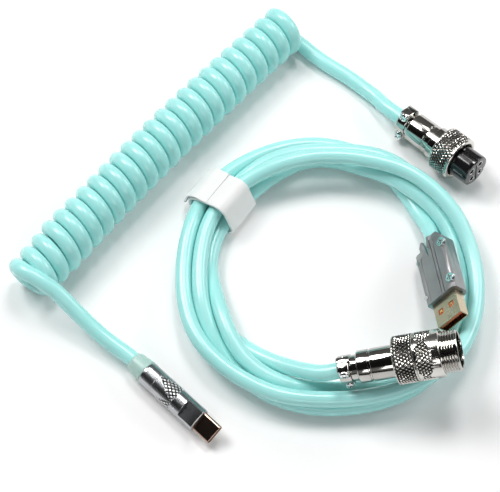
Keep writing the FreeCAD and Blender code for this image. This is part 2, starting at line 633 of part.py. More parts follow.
screws = []
for end, z, small_z in USB_A_SCREWS:
    screws.append(cross_screw("usb_a_screw_" + end, SCREW_X, z, head=(3.55, 4.75, 1.9),
                              shank=(-2.9, 3.6, 0.5), recess=(4.2, 5.0, 0.25)))
    screws.append(fuse("usb_a_small_screw_" + end, [
        cross_cylinder("usb_a_small_head_" + end, 0.95, 3.52, 4.05, -SCREW_X, small_z),
        cross_cylinder("usb_a_small_shank_" + end, 0.4, -2.5, 3.6, -SCREW_X, small_z)]))
keep(fuse("usb_a_screws_all", screws), "usb_a_screws", USB_A)

# shell with two square windows in its +y wall
shell = shell_body("usb_a_shell", 18.2, 18.5, centred_rectangle,
                   ("usb_a_width", "usb_a_height"), ("usb_a_inner_width", "usb_a_inner_height"))
closed_volume = shell.Shape.Volume
windows = sketch_on(shell, "XZ_Plane", "usb_a_shell_windows")
for x0 in (-3.9, 1.6):
    rectangle(windows, x0, 29.6, "usb_a_window", "usb_a_window")
window_pocket = pocket(shell, "usb_a_window_pocket", windows, dim("usb_a_window_depth", 4.0))
doc.recompute()
# guards the pocket's direction: a point of the +y wall within a window must be open
if shell.Shape.isInside(Vector(2.7, 2.1, 30.7), 0.01, True):
    window_pocket.Reversed = True
    doc.recompute()
assert shell.Shape.Volume < closed_volume - 0.5
keep(shell, "usb_a_shell", USB_A)

padded_box("usb_a_insulator", USB_A, -5.6, 5.6, 0.1, 1.88, 18.6, 36.1)
strips = [box("usb_a_contact_" + letter, x - 0.5, x + 0.5, -0.05, 0.09, 19.0, 35.4)
          for letter, x in zip("abcd", (-3.5, -1.0, 1.0, 3.5))]
keep(fuse("usb_a_contacts_all", strips), "usb_a_contacts", USB_A)
padded_box("usb_a_circuit_board", USB_A, -4.4, 4.2, -0.5, 0.5, 9.0, 17.4)
wires("usb_a_wires", USB_A, 6.3, 11.5,
      [(2.2, 1.15), (-2.2, 1.15), (-2.2, -1.15), (2.2, -1.15)], start_radius=1.6)

# ---------------------------------------------------------------- strap round the bundle
# (sideways, height) of the strands where they pass through the strap, before the lift
BUNDLE = [
    (-0.20, 3.15), (-6.54, 3.17), (-2.59, 9.02), (4.65, 7.25), (0.17, 3.33), (-6.26, 3.17),
    (-2.44, 9.53), (5.97, 6.04), (-0.42, 4.05), (-6.90, 3.17), (-4.01, 10.52), (5.92, 4.71),
]
BUNDLE_LIFT = 1.42
STRAP_CENTRE = Vector(-11.6255, 17.1295, 0)
STRAP_AXIS = Vector(0.58424992, 0.8115738, 0)    # along the strands
STRAP_SIDE = Vector(-STRAP_AXIS.y, STRAP_AXIS.x, 0)
TAB_GAP = 0.12
TAB_THICK = 1.0
TAB_CORNER = (1.2, 4.6)    # the tab lies beyond this sideways place and above this height


def convex_hull(points):
    """Convex outline, counter-clockwise from its lowest first coordinate."""
    def chain(ordered):
        kept = []
        for point in ordered:
            while len(kept) > 1:
                (x0, y0), (x1, y1) = kept[-2:]
                if (x1 - x0) * (point[1] - y0) - (y1 - y0) * (point[0] - x0) > 0:
                    break
                kept.pop()
            kept.append(point)
        return kept[:-1]

    points = sorted(set(points))
    return chain(points) + chain(points[::-1])


def strap_point(point, along):
    return STRAP_CENTRE + STRAP_SIDE * point[0] + UP * point[1] + STRAP_AXIS * along


def bundle_solid(offset):
    """The hull of the strand centres, grown by offset and as long as the strap is wide."""
    width = size["strap_width"]
    corners = [strap_point(point, -width / 2) for point in strap_hull]
    outline = Part.makePolygon(corners + [corners[0]]).makeOffset2D(offset)
    return Part.Face(outline).extrude(STRAP_AXIS * width)


def layer(inner, thickness):
    return bundle_solid(inner + thickness).cut(bundle_solid(inner))


strap_hull = convex_hull([(side, height + BUNDLE_LIFT) for side, height in BUNDLE])
band_inner = size["cable_radius"] + size["strap_clear"]
keep_shape("strap_band", layer(band_inner, size["strap_thick"]), WORLD)

# loose end: a second layer over the upper quarter on the STRAP_SIDE flank
tab_layer = layer(band_inner + size["strap_thick"] + TAB_GAP, TAB_THICK)
sector = Part.makeBox(40, 30, 30, Vector(-20, 0, 0))
sector.Placement = FreeCAD.Placement(FreeCAD.Matrix(
    STRAP_AXIS.x, STRAP_SIDE.x, 0, 0,
    STRAP_AXIS.y, STRAP_SIDE.y, 0, 0,
    0, 0, 1, 0,
    0, 0, 0, 1))
sector.Placement.Base = strap_point(TAB_CORNER, 0)
keep_shape("strap_tab", tab_layer.common(sector), WORLD)

# ---------------------------------------------------------------- place, check and export
doc.recompute()
for obj, label, place in pieces:
    obj.Placement = place.multiply(obj.Placement)
doc.recompute()
bad = [obj.Name for obj in doc.Objects if "Invalid" in obj.State or "Error" in obj.State]
assert not bad, bad
for obj, label, place in pieces:
    shape = obj.Shape
    assert not shape.isNull() and shape.isValid(), label
    assert shape.Solids, label
for obj, label, place in pieces:
    obj.Shape.exportStep(f"parts/{label}.step")
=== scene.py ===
import bpy
import bmesh
import math
import numpy as np
from mathutils import Matrix, Vector


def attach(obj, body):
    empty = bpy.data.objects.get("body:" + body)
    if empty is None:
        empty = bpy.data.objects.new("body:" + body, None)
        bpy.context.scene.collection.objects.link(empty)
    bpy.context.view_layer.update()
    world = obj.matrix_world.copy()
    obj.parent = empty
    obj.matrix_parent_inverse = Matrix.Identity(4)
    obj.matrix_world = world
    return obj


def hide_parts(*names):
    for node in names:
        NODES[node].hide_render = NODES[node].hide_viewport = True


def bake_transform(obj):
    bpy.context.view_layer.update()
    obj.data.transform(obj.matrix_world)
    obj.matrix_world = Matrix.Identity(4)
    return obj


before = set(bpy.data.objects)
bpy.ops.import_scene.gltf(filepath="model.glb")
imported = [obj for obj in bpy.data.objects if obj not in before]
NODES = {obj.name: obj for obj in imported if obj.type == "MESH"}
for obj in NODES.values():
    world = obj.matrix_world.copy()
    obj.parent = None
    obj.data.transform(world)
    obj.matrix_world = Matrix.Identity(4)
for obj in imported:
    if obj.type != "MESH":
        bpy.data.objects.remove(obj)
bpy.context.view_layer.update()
MM = 0.001
SHIFT = np.array((-0.7083, -10.0109, 0.1300))
TAU = 2 * math.pi
WORLD = Matrix.Identity(4)
UP = np.array((0, 0, 1.0))
scene = bpy.context.scene


# ------------------------------------------------------------------ frames
def unit(v):
    v = np.asarray(v, float)
    return v / np.linalg.norm(v)


def part_frame(origin, z_dir, y_dir):
    """Rigid 4x4 (metres): local Z along z_dir, local Y as near y_dir as it can be."""
    z = unit(z_dir)
    y = np.asarray(y_dir, float)
    y = unit(y - z * y.dot(z))
    m = np.eye(4)
    m[:3, 0], m[:3, 1], m[:3, 2] = np.cross(y, z), y, z
    m[:3, 3] = (np.asarray(origin, float) + SHIFT) * MM
    return Matrix(m.tolist())


SOCKET_AT = (32.3299, -60.9936, 16.2), (0.9546215, 0.05671497, 0.2923717)
PLUG_AT = (63.2391, 54.6601, 7.0), (0.714149, -0.6921506, 0.1044925)
SOCKET = part_frame(*SOCKET_AT, UP)
SOCKET_CLAMP = part_frame(*SOCKET_AT, (0, -1, 0))
PLUG = part_frame(*PLUG_AT, UP)
PLUG_CLAMP = part_frame(*PLUG_AT, (-0.67965, -0.6499, 0.34015))
USB_C = part_frame((-39.4141, -56.9062, 5.06), (0.7161081, -0.6979894, 0.0),
                   (-0.2615, -0.2682, 0.9272))
USB_A = part_frame((72.8448, -6.6378, 9.3), (0.11809351, -0.95775837, 0.26220762),
                   (-0.7635045, 0.0812561, 0.6406702))


# ------------------------------------------------------------------ objects
def build(name, data, place=WORLD, mats=(), ids=None):
    """Smooth-shaded mesh from (vertices in mm, faces); ids are material slots per face."""
    verts, faces = data
    mesh = bpy.data.meshes.new(name)
    mesh.from_pydata((np.asarray(verts, float) * MM).tolist(), [],
                     [tuple(int(i) for i in face) for face in faces])
    mesh.update()
    ob = bpy.data.objects.new(name, mesh)
    scene.collection.objects.link(ob)
    ob.matrix_world = place
    for mat in mats:
        mesh.materials.append(mat)
    if ids is not None:
        mesh.polygons.foreach_set("material_index", np.asarray(ids, np.int32))
    mesh.shade_smooth()
    mesh.update()
    return ob


def clean(ob, dist=0.00002):
    """Joins split vertices (dist in metres) and makes the faces point outwards."""
    bm = bmesh.new()
    bm.from_mesh(ob.data)
    bmesh.ops.remove_doubles(bm, verts=bm.verts, dist=dist)
    bmesh.ops.recalc_face_normals(bm, faces=bm.faces)
    bm.to_mesh(ob.data)
    bm.free()
    ob.data.update()


def set_material(ob, mat):
    ob.data.materials.clear()
    ob.data.materials.append(mat)


def shade(ob, angle):
    """Smooth shading with edges sharper than angle (degrees) kept crisp."""
    ob.data.shade_smooth()
    ob.data.set_sharp_from_angle(angle=math.radians(angle))


def finish_piece(ob, body, replaces=(), angle=32.0, mat=None):
    if mat is not None:
        set_material(ob, mat)
    shade(ob, angle)
    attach(ob, body)
    if replaces:
        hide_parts(*replaces)


def add_piece(name, data, place, mats, body, replaces=(), angle=32.0, ids=None,
              weld=False):
    ob = build(name, data, place, mats, ids)
    if weld:
        clean(ob)
    finish_piece(ob, body, replaces, angle)


def copy_node(node_name, name, place):
    """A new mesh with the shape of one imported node, re-based onto a part frame."""
    ob = NODES[node_name].copy()
    ob.data = NODES[node_name].data.copy()
    ob.parent = None
    ob.name = name
    for key in list(ob.keys()):
        if key.startswith("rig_"):
            del ob[key]
    scene.collection.objects.link(ob)
    clean(ob)
    ob.data.transform(place.inverted())
    ob.matrix_world = place
    return ob


def boolean(ob, tools, operation="DIFFERENCE"):
    """Applies the tools to the object and deletes them."""
    for tool in tools:
        mod = ob.modifiers.new("cut", "BOOLEAN")
        mod.operation = operation
        mod.solver = "EXACT"
        mod.object = tool
    bpy.context.view_layer.update()
    graph = bpy.context.evaluated_depsgraph_get()
    mesh = bpy.data.meshes.new_from_object(ob.evaluated_get(graph))
    ob.modifiers.clear()
    old = ob.data
    ob.data = mesh
    bpy.data.meshes.remove(old)
    for tool in tools:
        bpy.data.objects.remove(tool)


# ------------------------------------------------------------------ mesh data
def ease(t):
    t = np.clip(t, 0, 1)
    return t * t * (3 - 2 * t)


def angles(n):
    return np.arange(n) * TAU / n


def grid_faces(m, n, closed=False):
    """Quads between m rings of n vertices; closed joins the last ring to the first."""
    i, j = np.meshgrid(np.arange(m if closed else m - 1), np.arange(n), indexing="ij")
    below, above = i * n, ((i + 1) % m) * n
    after = (j + 1) % n
    quads = np.stack([below + j, below + after, above + after, above + j], -1)
    return quads.reshape(-1, 4).tolist()


def capped_faces(m, n):
    """Quads between m rings, with a flat face at each end."""
    return grid_faces(m, n) + [list(range(n))[::-1], [(m - 1) * n + k for k in range(n)]]


def ring(radius, theta, z):
    return np.column_stack([radius * np.cos(theta), radius * np.sin(theta),
                            np.full(len(theta), z)])


def rectangle(x0, x1, y0, y1):
    return [(x0, y0), (x1, y0), (x1, y1), (x0, y1)]


def circle(radius, count, x=0.0, y=0.0):
    return [(x + radius * math.cos(t), y + radius * math.sin(t)) for t in angles(count)]


def arc(radius, start, end, n=20):
    """Points on an arc about the origin, angles in degrees."""
    return [(radius * math.cos(t), radius * math.sin(t))
            for t in (math.radians(a) for a in np.linspace(start, end, n))]


def signed_area(outline):
    x, y = outline[:, 0], outline[:, 1]
    return 0.5 * np.sum(x * np.roll(y, -1) - np.roll(x, -1) * y)


def rounded(corners, steps):
    """Closed polygon of (a, b, setback) corners, each rounded over its setback."""
    out, n = [], len(corners)
    for i, (a, b, setback) in enumerate(corners):
        p = np.array((a, b), float)
        if setback <= 0:
            out.append(p)
            continue
        back = np.array(corners[i - 1][:2], float) - p
        ahead = np.array(corners[(i + 1) % n][:2], float) - p
        len_back, len_ahead = np.linalg.norm(back), np.linalg.norm(ahead)
        start = p + back / len_back * min(setback, 0.48 * len_back)
        end = p + ahead / len_ahead * min(setback, 0.48 * len_ahead)
        for k in range(steps + 1):
            t = k / steps
            out.append((1 - t) ** 2 * start + 2 * t * (1 - t) * p + t * t * end)
    return np.array(out)


def lathe(profile, segments=96, corner_steps=4, zone=None, step=None, relief=None):
    """Closed (z, radius, setback) profile turned about local Z. In zone (z0, z1, least
    radius, largest radius) it is divided every step mm and moved out by relief(theta, z)."""
    outline = rounded(profile, corner_steps)
    if zone:
        z0, z1, r_min, r_max = zone
        divided = []
        for i, p in enumerate(outline):
            q = outline[(i + 1) % len(outline)]
            divided.append(p)
            in_band = r_min <= p[1] <= r_max and r_min <= q[1] <= r_max
            if in_band and abs(q[0] - p[0]) > step * 1.01:
                low, high = min(p[0], q[0]) + 1e-4, max(p[0], q[0]) - 1e-4
                stations = [z for z in np.arange(z0, z1 + 1e-6, step) if low < z < high]
                if q[0] < p[0]:
                    stations = stations[::-1]
                divided += [np.array((z, p[1] + (q[1] - p[1]) * (z - p[0]) / (q[0] - p[0])))
                            for z in stations]
        outline = divided
    theta = angles(segments)
    rings = []
    for z, radius in outline:
        radii = np.full(segments, radius)
        if zone and z0 - 1e-6 <= z <= z1 + 1e-6 and r_min <= radius <= r_max:
            radii = radii + relief(theta, z)
        rings.append(ring(radii, theta, z))
    return np.concatenate(rings), grid_faces(len(rings), segments, closed=True)


def prism(outline, z0, z1, edge, edge_steps):
    """Closed (x, y) outline pushed along Z, its end edges rounded by edge mm."""
    o = np.asarray(outline, float)
    if signed_area(o) < 0:
        o = o[::-1]

    def normals(e):
        return np.stack([e[:, 1], -e[:, 0]], -1) / (np.linalg.norm(e, axis=1)[:, None] + 1e-9)
    miter = normals(o - np.roll(o, 1, 0)) + normals(np.roll(o, -1, 0) - o)
    miter = miter / np.maximum(np.sum(miter * miter, 1)[:, None] * 0.5, 0.35)
    turns = [math.pi / 2 * k / edge_steps for k in range(edge_steps + 1)]
    rows = [(z0 + edge * (1 - math.cos(t)), edge * (1 - math.sin(t))) for t in turns]
    rows += [(z1 - edge * (1 - math.cos(t)), edge * (1 - math.sin(t))) for t in turns[::-1]]
    verts = [np.column_stack([o - miter * inset, np.full(len(o), z)]) for z, inset in rows]
    return np.concatenate(verts), capped_faces(len(rows), len(o))


def tool_along_y(outline_xz, y0, y1, place):
    """Boolean tool: closed (x, z) outline pushed along local Y."""
    n = len(outline_xz)
    verts = [(x, y, z) for y in (y0, y1) for x, z in outline_xz]
    faces = [list(range(n)), [n + k for k in range(n)][::-1]]
    faces += [[k, k + n, (k + 1) % n + n, (k + 1) % n] for k in range(n)]
    if signed_area(np.asarray(outline_xz, float)) < 0:
        faces = [face[::-1] for face in faces]
    ob = build("tool", (verts, faces), place)
    clean(ob)
    return ob


def tool_along_z(outline_xy, z0, z1, place):
    """Boolean tool: closed (x, y) outline pushed along local Z."""
    n = len(outline_xy)
    verts = [(x, y, z) for z in (z0, z1) for x, y in outline_xy]
    faces = [list(range(n))[::-1], [n + k for k in range(n)]]
    faces += [[k, (k + 1) % n, (k + 1) % n + n, k + n] for k in range(n)]
    ob = build("tool", (verts, faces), place)
    clean(ob)
    return ob


# ------------------------------------------------------------------ shader helpers
# Scales are per metre of object space; bump distances and radii are in metres.
def feed(tree, shader, inputs):
    """Links inputs that are given a socket and sets the others."""
    for key, value in inputs.items():
        if isinstance(value, bpy.types.NodeSocket):
            tree.links.new(value, shader.inputs[key])
        else:
            shader.inputs[key].default_value = value


def node(tree, kind, inputs=None, **props):
    shader = tree.nodes.new(kind)
    for key, value in props.items():
        setattr(shader, key, value)
    feed(tree, shader, inputs or {})
    return shader


def material(name):
    mat = bpy.data.materials.new(name)
    mat.use_nodes = True
    return mat, mat.node_tree, mat.node_tree.nodes["Principled BSDF"]


def coords(tree, scale=(1, 1, 1)):
    vector = node(tree, "ShaderNodeTexCoord").outputs["Object"]
    return node(tree, "ShaderNodeMapping", {"Scale": scale, "Vector": vector}).outputs["Vector"]


def noise(tree, vector, scale, detail, roughness):
    return node(tree, "ShaderNodeTexNoise", {
        "Scale": scale, "Detail": detail, "Roughness": roughness,
        "Vector": vector}).outputs["Fac"]


def ramp(tree, factor, stops):
    """Colour ramp through (position, rgb) stops."""
    shader = node(tree, "ShaderNodeValToRGB", {"Fac": factor})
    elements = shader.color_ramp.elements
    for element, (position, rgb) in ((elements[0], stops[0]), (elements[1], stops[-1])):
        element.position = position
        element.color = (*rgb, 1)
    for position, rgb in stops[1:-1]:
        elements.new(position).color = (*rgb, 1)
    return shader.outputs["Color"]


def span(tree, factor, low, high):
    """Maps 0..1 to low..high."""
    return node(tree, "ShaderNodeMapRange", {
        "To Min": low, "To Max": high, "Value": factor}).outputs["Result"]


def combine(tree, operation, a, b):
    return node(tree, "ShaderNodeMath", {0: a, 1: b}, operation=operation).outputs[0]


def bump(tree, height, strength, distance, normal=None):
    inputs = {"Strength": strength, "Distance": distance, "Height": height}
    if normal is not None:
        inputs["Normal"] = normal
    return node(tree, "ShaderNodeBump", inputs).outputs["Normal"]


def soft_edges(tree, radius):
    """Normal with edges rounded by radius, or None for a radius of 0."""
    if not radius:
        return None
    return node(tree, "ShaderNodeBevel", {"Radius": radius}, samples=6).outputs["Normal"]


# ------------------------------------------------------------------ materials
def metal(name, dark, light, rough, lines=0.0, soft=0.0, grain=0.05, metallic=1.0):
    """Plated or cast metal: smudged roughness, tool lines across local Z (strength lines),
    small pits (strength grain) and edges softened by radius soft."""
    mat, tree, bsdf = material(name)
    vector = coords(tree)
    smudge = noise(tree, vector, scale=90, detail=4, roughness=0.6)
    pits = noise(tree, vector, scale=1500, detail=2, roughness=0.5)
    color = ramp(tree, smudge, [(0.30, dark), (0.72, light)])
    roughness = combine(tree, "ADD", span(tree, smudge, *rough),
                        span(tree, pits, low=-0.02, high=0.03))
    normal = soft_edges(tree, soft)
    if lines:
        height = noise(tree, coords(tree, (0.0, 0.0, 1.0)), scale=5200, detail=1, roughness=0.5)
        normal = bump(tree, height, strength=lines, distance=0.00003, normal=normal)
    normal = bump(tree, pits, strength=grain, distance=0.00005, normal=normal)
    feed(tree, bsdf, {"Base Color": color, "Roughness": roughness, "Metallic": metallic,
                      "Normal": normal})
    return mat


def plastic(name, dark, light, rough, soft=0.0, grain=0.06, transmission=0.0, coat=0.0,
            sss=0.0):
    mat, tree, bsdf = material(name)
    vector = coords(tree)
    drift = noise(tree, vector, scale=60, detail=3, roughness=0.5)
    fine = noise(tree, vector, scale=900, detail=3, roughness=0.6)
    feed(tree, bsdf, {
        "Base Color": ramp(tree, drift, [(0.25, dark), (0.75, light)]),
        "Roughness": span(tree, fine, *rough), "Transmission Weight": transmission,
        "Coat Weight": coat, "Coat Roughness": 0.08})
    if sss:
        feed(tree, bsdf, {"Subsurface Weight": sss, "Subsurface Radius": (0.5, 1.0, 0.9),
                          "Subsurface Scale": 0.0012})
    normal = bump(tree, fine, strength=grain, distance=0.00004, normal=soft_edges(tree, soft))
    feed(tree, bsdf, {"Normal": normal})
    return mat


def jacket():
    """Glossy mint jacket: slight colour drift, flow marks, faint ripples."""
    mat, tree, bsdf = material("jacket_mint")
    vector = coords(tree)
    drift = noise(tree, vector, scale=28, detail=3, roughness=0.5)
    flow = noise(tree, vector, scale=240, detail=3, roughness=0.55)
    ripple = noise(tree, vector, scale=2600, detail=2, roughness=0.5)
    normal = bump(tree, flow, strength=0.10, distance=0.00012)
    feed(tree, bsdf, {
        "Base Color": ramp(tree, drift, [(0.25, (0.375, 0.800, 0.770)),
                                         (0.5, (0.402, 0.825, 0.800)),
                                         (0.78, (0.425, 0.845, 0.820))]),
        "Roughness": span(tree, flow, low=0.20, high=0.30),
        "Specular IOR Level": 0.52, "Coat Weight": 0.12, "Coat Roughness": 0.12,
        "Subsurface Weight": 0.12, "Subsurface Radius": (0.35, 1.0, 0.9),
        "Subsurface Scale": 0.0016,
        "Normal": bump(tree, ripple, strength=0.05, distance=0.00002, normal=normal)})
    return mat


def strap_cloth(name, dark, light, weave=1.0):
    """Brushed hook-and-loop tape: fine woven ribs under a short nap."""
    mat, tree, bsdf = material(name)
    vector = node(tree, "ShaderNodeTexCoord").outputs["Object"]
    ribs = [node(tree, "ShaderNodeTexWave",
                 {"Scale": 520, "Distortion": 3.0, "Detail": 2.0, "Vector": vector},
                 wave_type="BANDS", bands_direction=axis).outputs["Fac"] for axis in "XZ"]
    woven = combine(tree, "MULTIPLY", *ribs)
    nap = noise(tree, vector, scale=2100, detail=5, roughness=0.7)
    drift = noise(tree, vector, scale=55, detail=3, roughness=0.5)
    normal = bump(tree, woven, strength=0.22 * weave, distance=0.00010)
    feed(tree, bsdf, {
        "Base Color": ramp(tree, drift, [(0.3, dark), (0.7, light)]),
        "Roughness": span(tree, nap, low=0.45, high=0.75),
        "Sheen Weight": 0.35, "Sheen Roughness": 0.4,
        "Normal": bump(tree, nap, strength=0.35 * weave, distance=0.00008, normal=normal)})
    return mat


def circuit_board():
    """Green board with a net of gold lines."""
    mat, tree, bsdf = material("board_green")
    vector = coords(tree)
    bricks = node(tree, "ShaderNodeTexBrick", {
        "Scale": 260, "Color1": (0.01, 0.10, 0.05, 1), "Color2": (0.012, 0.14, 0.06, 1),
        "Mortar": (0.25, 0.20, 0.06, 1), "Vector": vector})
    fine = noise(tree, vector, scale=700, detail=3, roughness=0.5)
    feed(tree, bsdf, {
        "Base Color": bricks.outputs["Color"],
        "Roughness": span(tree, fine, low=0.25, high=0.45),
        "Normal": bump(tree, bricks.outputs["Fac"], strength=0.2, distance=0.00005)})
    return mat


NICKEL_COLORS = {"dark": (0.47, 0.455, 0.43), "light": (0.62, 0.605, 0.575)}
MINT = jacket()
NICKEL = metal("nickel_plate", **NICKEL_COLORS, rough=(0.06, 0.13), lines=0.10, grain=0.03)
NICKEL_CAST = metal("nickel_plate_cast", **NICKEL_COLORS, rough=(0.09, 0.18), soft=0.00022,
                    grain=0.04)
# Lighter copy of the nickel for the knurled nut and sleeve: painted highlight on the knurl teeth
NICKEL_KNURL_PAINTED_HIGHLIGHT = metal("nickel_knurl_painted_highlight", dark=(0.60, 0.585, 0.555), light=(0.78, 0.765, 0.73),
              rough=(0.10, 0.20), grain=0.04)
# Near-black metal for the faces in the knurl grooves: painted shade
GROOVE_PAINTED_SHADE = metal("knurl_groove_painted_shade", dark=(0.03, 0.029, 0.027), light=(0.07, 0.067, 0.062),
               rough=(0.25, 0.40), grain=0.05)
GUNMETAL = metal("gunmetal_plate", dark=(0.44, 0.455, 0.47), light=(0.56, 0.575, 0.59),
                 rough=(0.20, 0.30), lines=0.12, grain=0.03)
# Lighter copy of the gunmetal for the grip's knurled panels: painted highlight
GUNMETAL_PANEL_PAINTED_HIGHLIGHT = metal("gunmetal_knurl_painted_highlight", dark=(0.68, 0.69, 0.70), light=(0.84, 0.85, 0.86),
                       rough=(0.32, 0.44), grain=0.04)
ZINC = metal("zinc_satin", dark=(0.33, 0.335, 0.34), light=(0.41, 0.415, 0.42),
             rough=(0.34, 0.46), soft=0.0003, grain=0.12, metallic=0.8)
CHROME = metal("screw_chrome", dark=(0.80, 0.80, 0.80), light=(0.92, 0.92, 0.92),
               rough=(0.05, 0.12), soft=0.0002, grain=0.02)
SHELL_STEEL = metal("usb_c_shell_steel", dark=(0.50, 0.35, 0.28), light=(0.62, 0.46, 0.38),
                    rough=(0.10, 0.20), soft=0.0001, grain=0.03)
GOLD = metal("gold_shell", dark=(0.56, 0.48, 0.34), light=(0.68, 0.60, 0.44),
             rough=(0.20, 0.32), soft=0.0002, grain=0.06)
CONTACT = metal("contact_gold", dark=(0.80, 0.58, 0.26), light=(0.92, 0.70, 0.34),
                rough=(0.12, 0.24), soft=0.00008)
BLACK = plastic("insert_black", dark=(0.006, 0.006, 0.007), light=(0.014, 0.014, 0.015),
                rough=(0.07, 0.16), soft=0.0002, grain=0.03, coat=0.5)
ORANGE = plastic("insert_orange", dark=(0.62, 0.10, 0.015), light=(0.78, 0.16, 0.03),
                 rough=(0.25, 0.40), soft=0.0001)
RELIEF = plastic("relief_soft", dark=(0.50, 0.74, 0.68), light=(0.60, 0.82, 0.76),
                 rough=(0.28, 0.42), grain=0.08, transmission=0.25, sss=0.25)
WIRE = plastic("wire_insulation", dark=(0.35, 0.02, 0.02), light=(0.55, 0.05, 0.03),
               rough=(0.25, 0.4))
BOARD = circuit_board()
STRAP = strap_cloth("strap_white", dark=(0.80, 0.81, 0.80), light=(0.88, 0.88, 0.87))
# Dark grey cloth for the thin layer under the strap's loose end: painted shade between the strap
# layers
PAINTED_SHADE_CLOTH = strap_cloth("strap_painted_shade_grey", dark=(0.16, 0.17, 0.17), light=(0.28, 0.29, 0.29),
                   weave=2.0)

# Materials for the CAD pieces
CAD_LOOK = (
    (NICKEL_CAST, ("usb_c_crimp_ring", "plug_backshell", "plug_clamp_bar", "plug_snap_ring",
                   "socket_backshell", "socket_clamp_bar")),
    (CHROME, ("plug_clamp_screws", "plug_set_screw", "plug_contacts", "socket_clamp_screws",
              "socket_set_screw", "socket_pins", "usb_a_screws")),
    (BLACK, ("usb_c_insulator", "socket_insulator")),
    (ORANGE, ("usb_a_insulator",)),
    (CONTACT, ("usb_c_contacts", "usb_a_contacts")),
    (BOARD, ("usb_c_circuit_board", "usb_a_circuit_board")),
    (WIRE, ("usb_c_wires", "plug_wires", "socket_wires", "usb_a_wires")),
)
for look, node_names in CAD_LOOK:
    for node_name in node_names:
        set_material(NODES[node_name], look)

# ------------------------------------------------------------------ cable paths
# Centre lines (x, y, z). LOOP runs from the round socket to the USB-A plug.
LOOP = [
    (38.060, -60.650, 17.950), (32.330, -60.990, 16.200), (28.320, -61.230, 14.970),
    (24.010, -60.250, 13.200), (16.330, -57.060, 9.750), (8.840, -53.110, 6.660),
    (1.420, -48.500, 4.460), (-5.600, -42.950, 3.380), (-11.860, -36.460, 3.170),
    (-16.980, -29.010, 3.175), (-20.470, -20.680, 3.256), (-21.930, -11.750, 3.647),
    (-21.370, -2.730, 4.227), (-18.550, 5.860, 4.537), (-14.190, 13.800, 4.609),
    (-8.700, 20.980, 5.149), (-2.390, 27.340, 6.418), (4.810, 32.480, 7.975),
    (13.030, 35.900, 9.125), (21.850, 37.740, 9.574), (30.900, 38.360, 9.573),
    (39.960, 38.050, 9.630), (48.910, 36.640, 9.710), (57.410, 33.600, 9.070),
    (64.790, 28.850, 6.910), (71.180, 22.780, 4.850), (76.670, 15.700, 3.710),
    (81.220, 7.910, 3.240), (84.710, -0.420, 3.170), (86.580, -9.250, 3.170),
    (86.880, -18.260, 3.170), (86.160, -27.230, 3.170), (84.140, -35.970, 3.170),
    (80.000, -43.860, 3.170), (73.400, -49.810, 3.170), (65.840, -54.600, 3.170),
    (57.950, -58.790, 3.170), (49.500, -61.670, 3.320), (40.720, -63.180, 3.920),
    (31.870, -63.880, 4.940), (23.010, -63.910, 6.050), (14.250, -62.490, 6.970),
    (6.050, -59.140, 7.900), (-0.930, -53.690, 8.710), (-6.100, -46.480, 9.390),
    (-9.600, -38.290, 9.600), (-12.110, -29.820, 8.414), (-14.250, -21.440, 6.310),
    (-15.610, -12.850, 4.816), (-15.060, -4.060, 4.433), (-12.270, 4.360, 4.544),
    (-7.670, 11.970, 4.587), (-2.020, 18.850, 4.574), (4.260, 25.170, 4.424),
    (11.120, 30.860, 3.937), (18.720, 35.480, 3.371), (27.280, 37.830, 3.183),
    (36.090, 36.920, 3.330), (44.160, 33.510, 4.810), (51.550, 29.340, 7.630),
    (58.980, 24.680, 9.340), (66.110, 19.250, 9.450), (72.520, 13.010, 8.770),
    (77.390, 5.540, 7.870), (80.330, -2.920, 7.190), (81.890, -11.730, 7.290),
    (82.340, -20.670, 7.840), (81.690, -29.590, 8.210), (79.640, -38.290, 8.690),
    (76.230, -46.560, 9.420), (71.900, -54.390, 8.790), (66.090, -60.830, 6.550),
    (58.510, -65.240, 4.670), (50.030, -68.090, 3.610), (41.210, -69.910, 3.210),
    (32.240, -70.710, 3.170), (23.250, -70.210, 3.170), (14.490, -68.190, 3.170),
    (6.240, -64.600, 3.260), (-1.140, -59.500, 3.780), (-7.460, -53.170, 4.780),
    (-12.550, -45.880, 6.190), (-16.300, -37.880, 7.960), (-18.660, -29.310, 9.383),
    (-19.610, -20.360, 9.749), (-19.450, -11.360, 9.864), (-18.280, -2.440, 10.104),
    (-15.670, 6.160, 10.328), (-11.130, 13.890, 10.770), (-4.850, 20.220, 11.775),
    (2.530, 25.160, 13.062), (10.580, 28.960, 13.966), (19.140, 31.580, 14.313),
    (28.040, 32.890, 14.534), (37.050, 32.820, 14.660), (45.980, 31.530, 14.770),
    (54.700, 29.190, 15.050), (62.960, 25.540, 15.210), (70.340, 20.340, 14.590),
    (76.660, 13.910, 13.640), (81.710, 6.460, 12.570), (85.170, -1.830, 11.310),
    (87.390, -10.600, 10.470), (88.280, -19.640, 10.140), (87.750, -28.720, 10.370),
    (85.910, -37.610, 11.200), (82.610, -46.000, 12.510), (77.690, -53.550, 13.810),
    (70.920, -59.620, 13.820), (63.000, -63.780, 12.120), (54.520, -66.680, 10.550),
    (45.680, -68.560, 9.700), (36.660, -69.520, 9.400), (27.590, -69.740, 9.430),
    (18.550, -69.190, 9.510), (9.680, -67.370, 9.560), (1.360, -63.820, 9.550),
    (-6.330, -59.060, 9.650), (-13.230, -53.200, 9.740), (-18.920, -46.190, 9.660),
    (-22.910, -38.090, 9.370), (-25.110, -29.320, 9.072), (-26.010, -20.320, 8.968),
    (-25.880, -11.270, 9.223), (-24.750, -2.300, 9.658), (-22.630, 6.480, 9.447),
    (-19.480, 14.890, 8.382), (-15.190, 22.720, 6.997), (-9.440, 29.570, 5.706),
    (-2.470, 35.270, 4.730), (5.290, 39.880, 3.899), (13.700, 43.160, 3.336),
    (22.580, 44.750, 3.184), (31.600, 44.460, 3.170), (40.350, 42.240, 3.170),
    (48.380, 38.090, 3.170), (55.220, 32.200, 3.170), (60.800, 25.080, 3.170),
    (65.290, 17.250, 3.370), (69.120, 9.200, 4.820), (71.720, 2.460, 6.810),
    (72.250, -1.850, 7.990), (72.960, -7.600, 9.560), (73.553, -12.384, 10.873)]
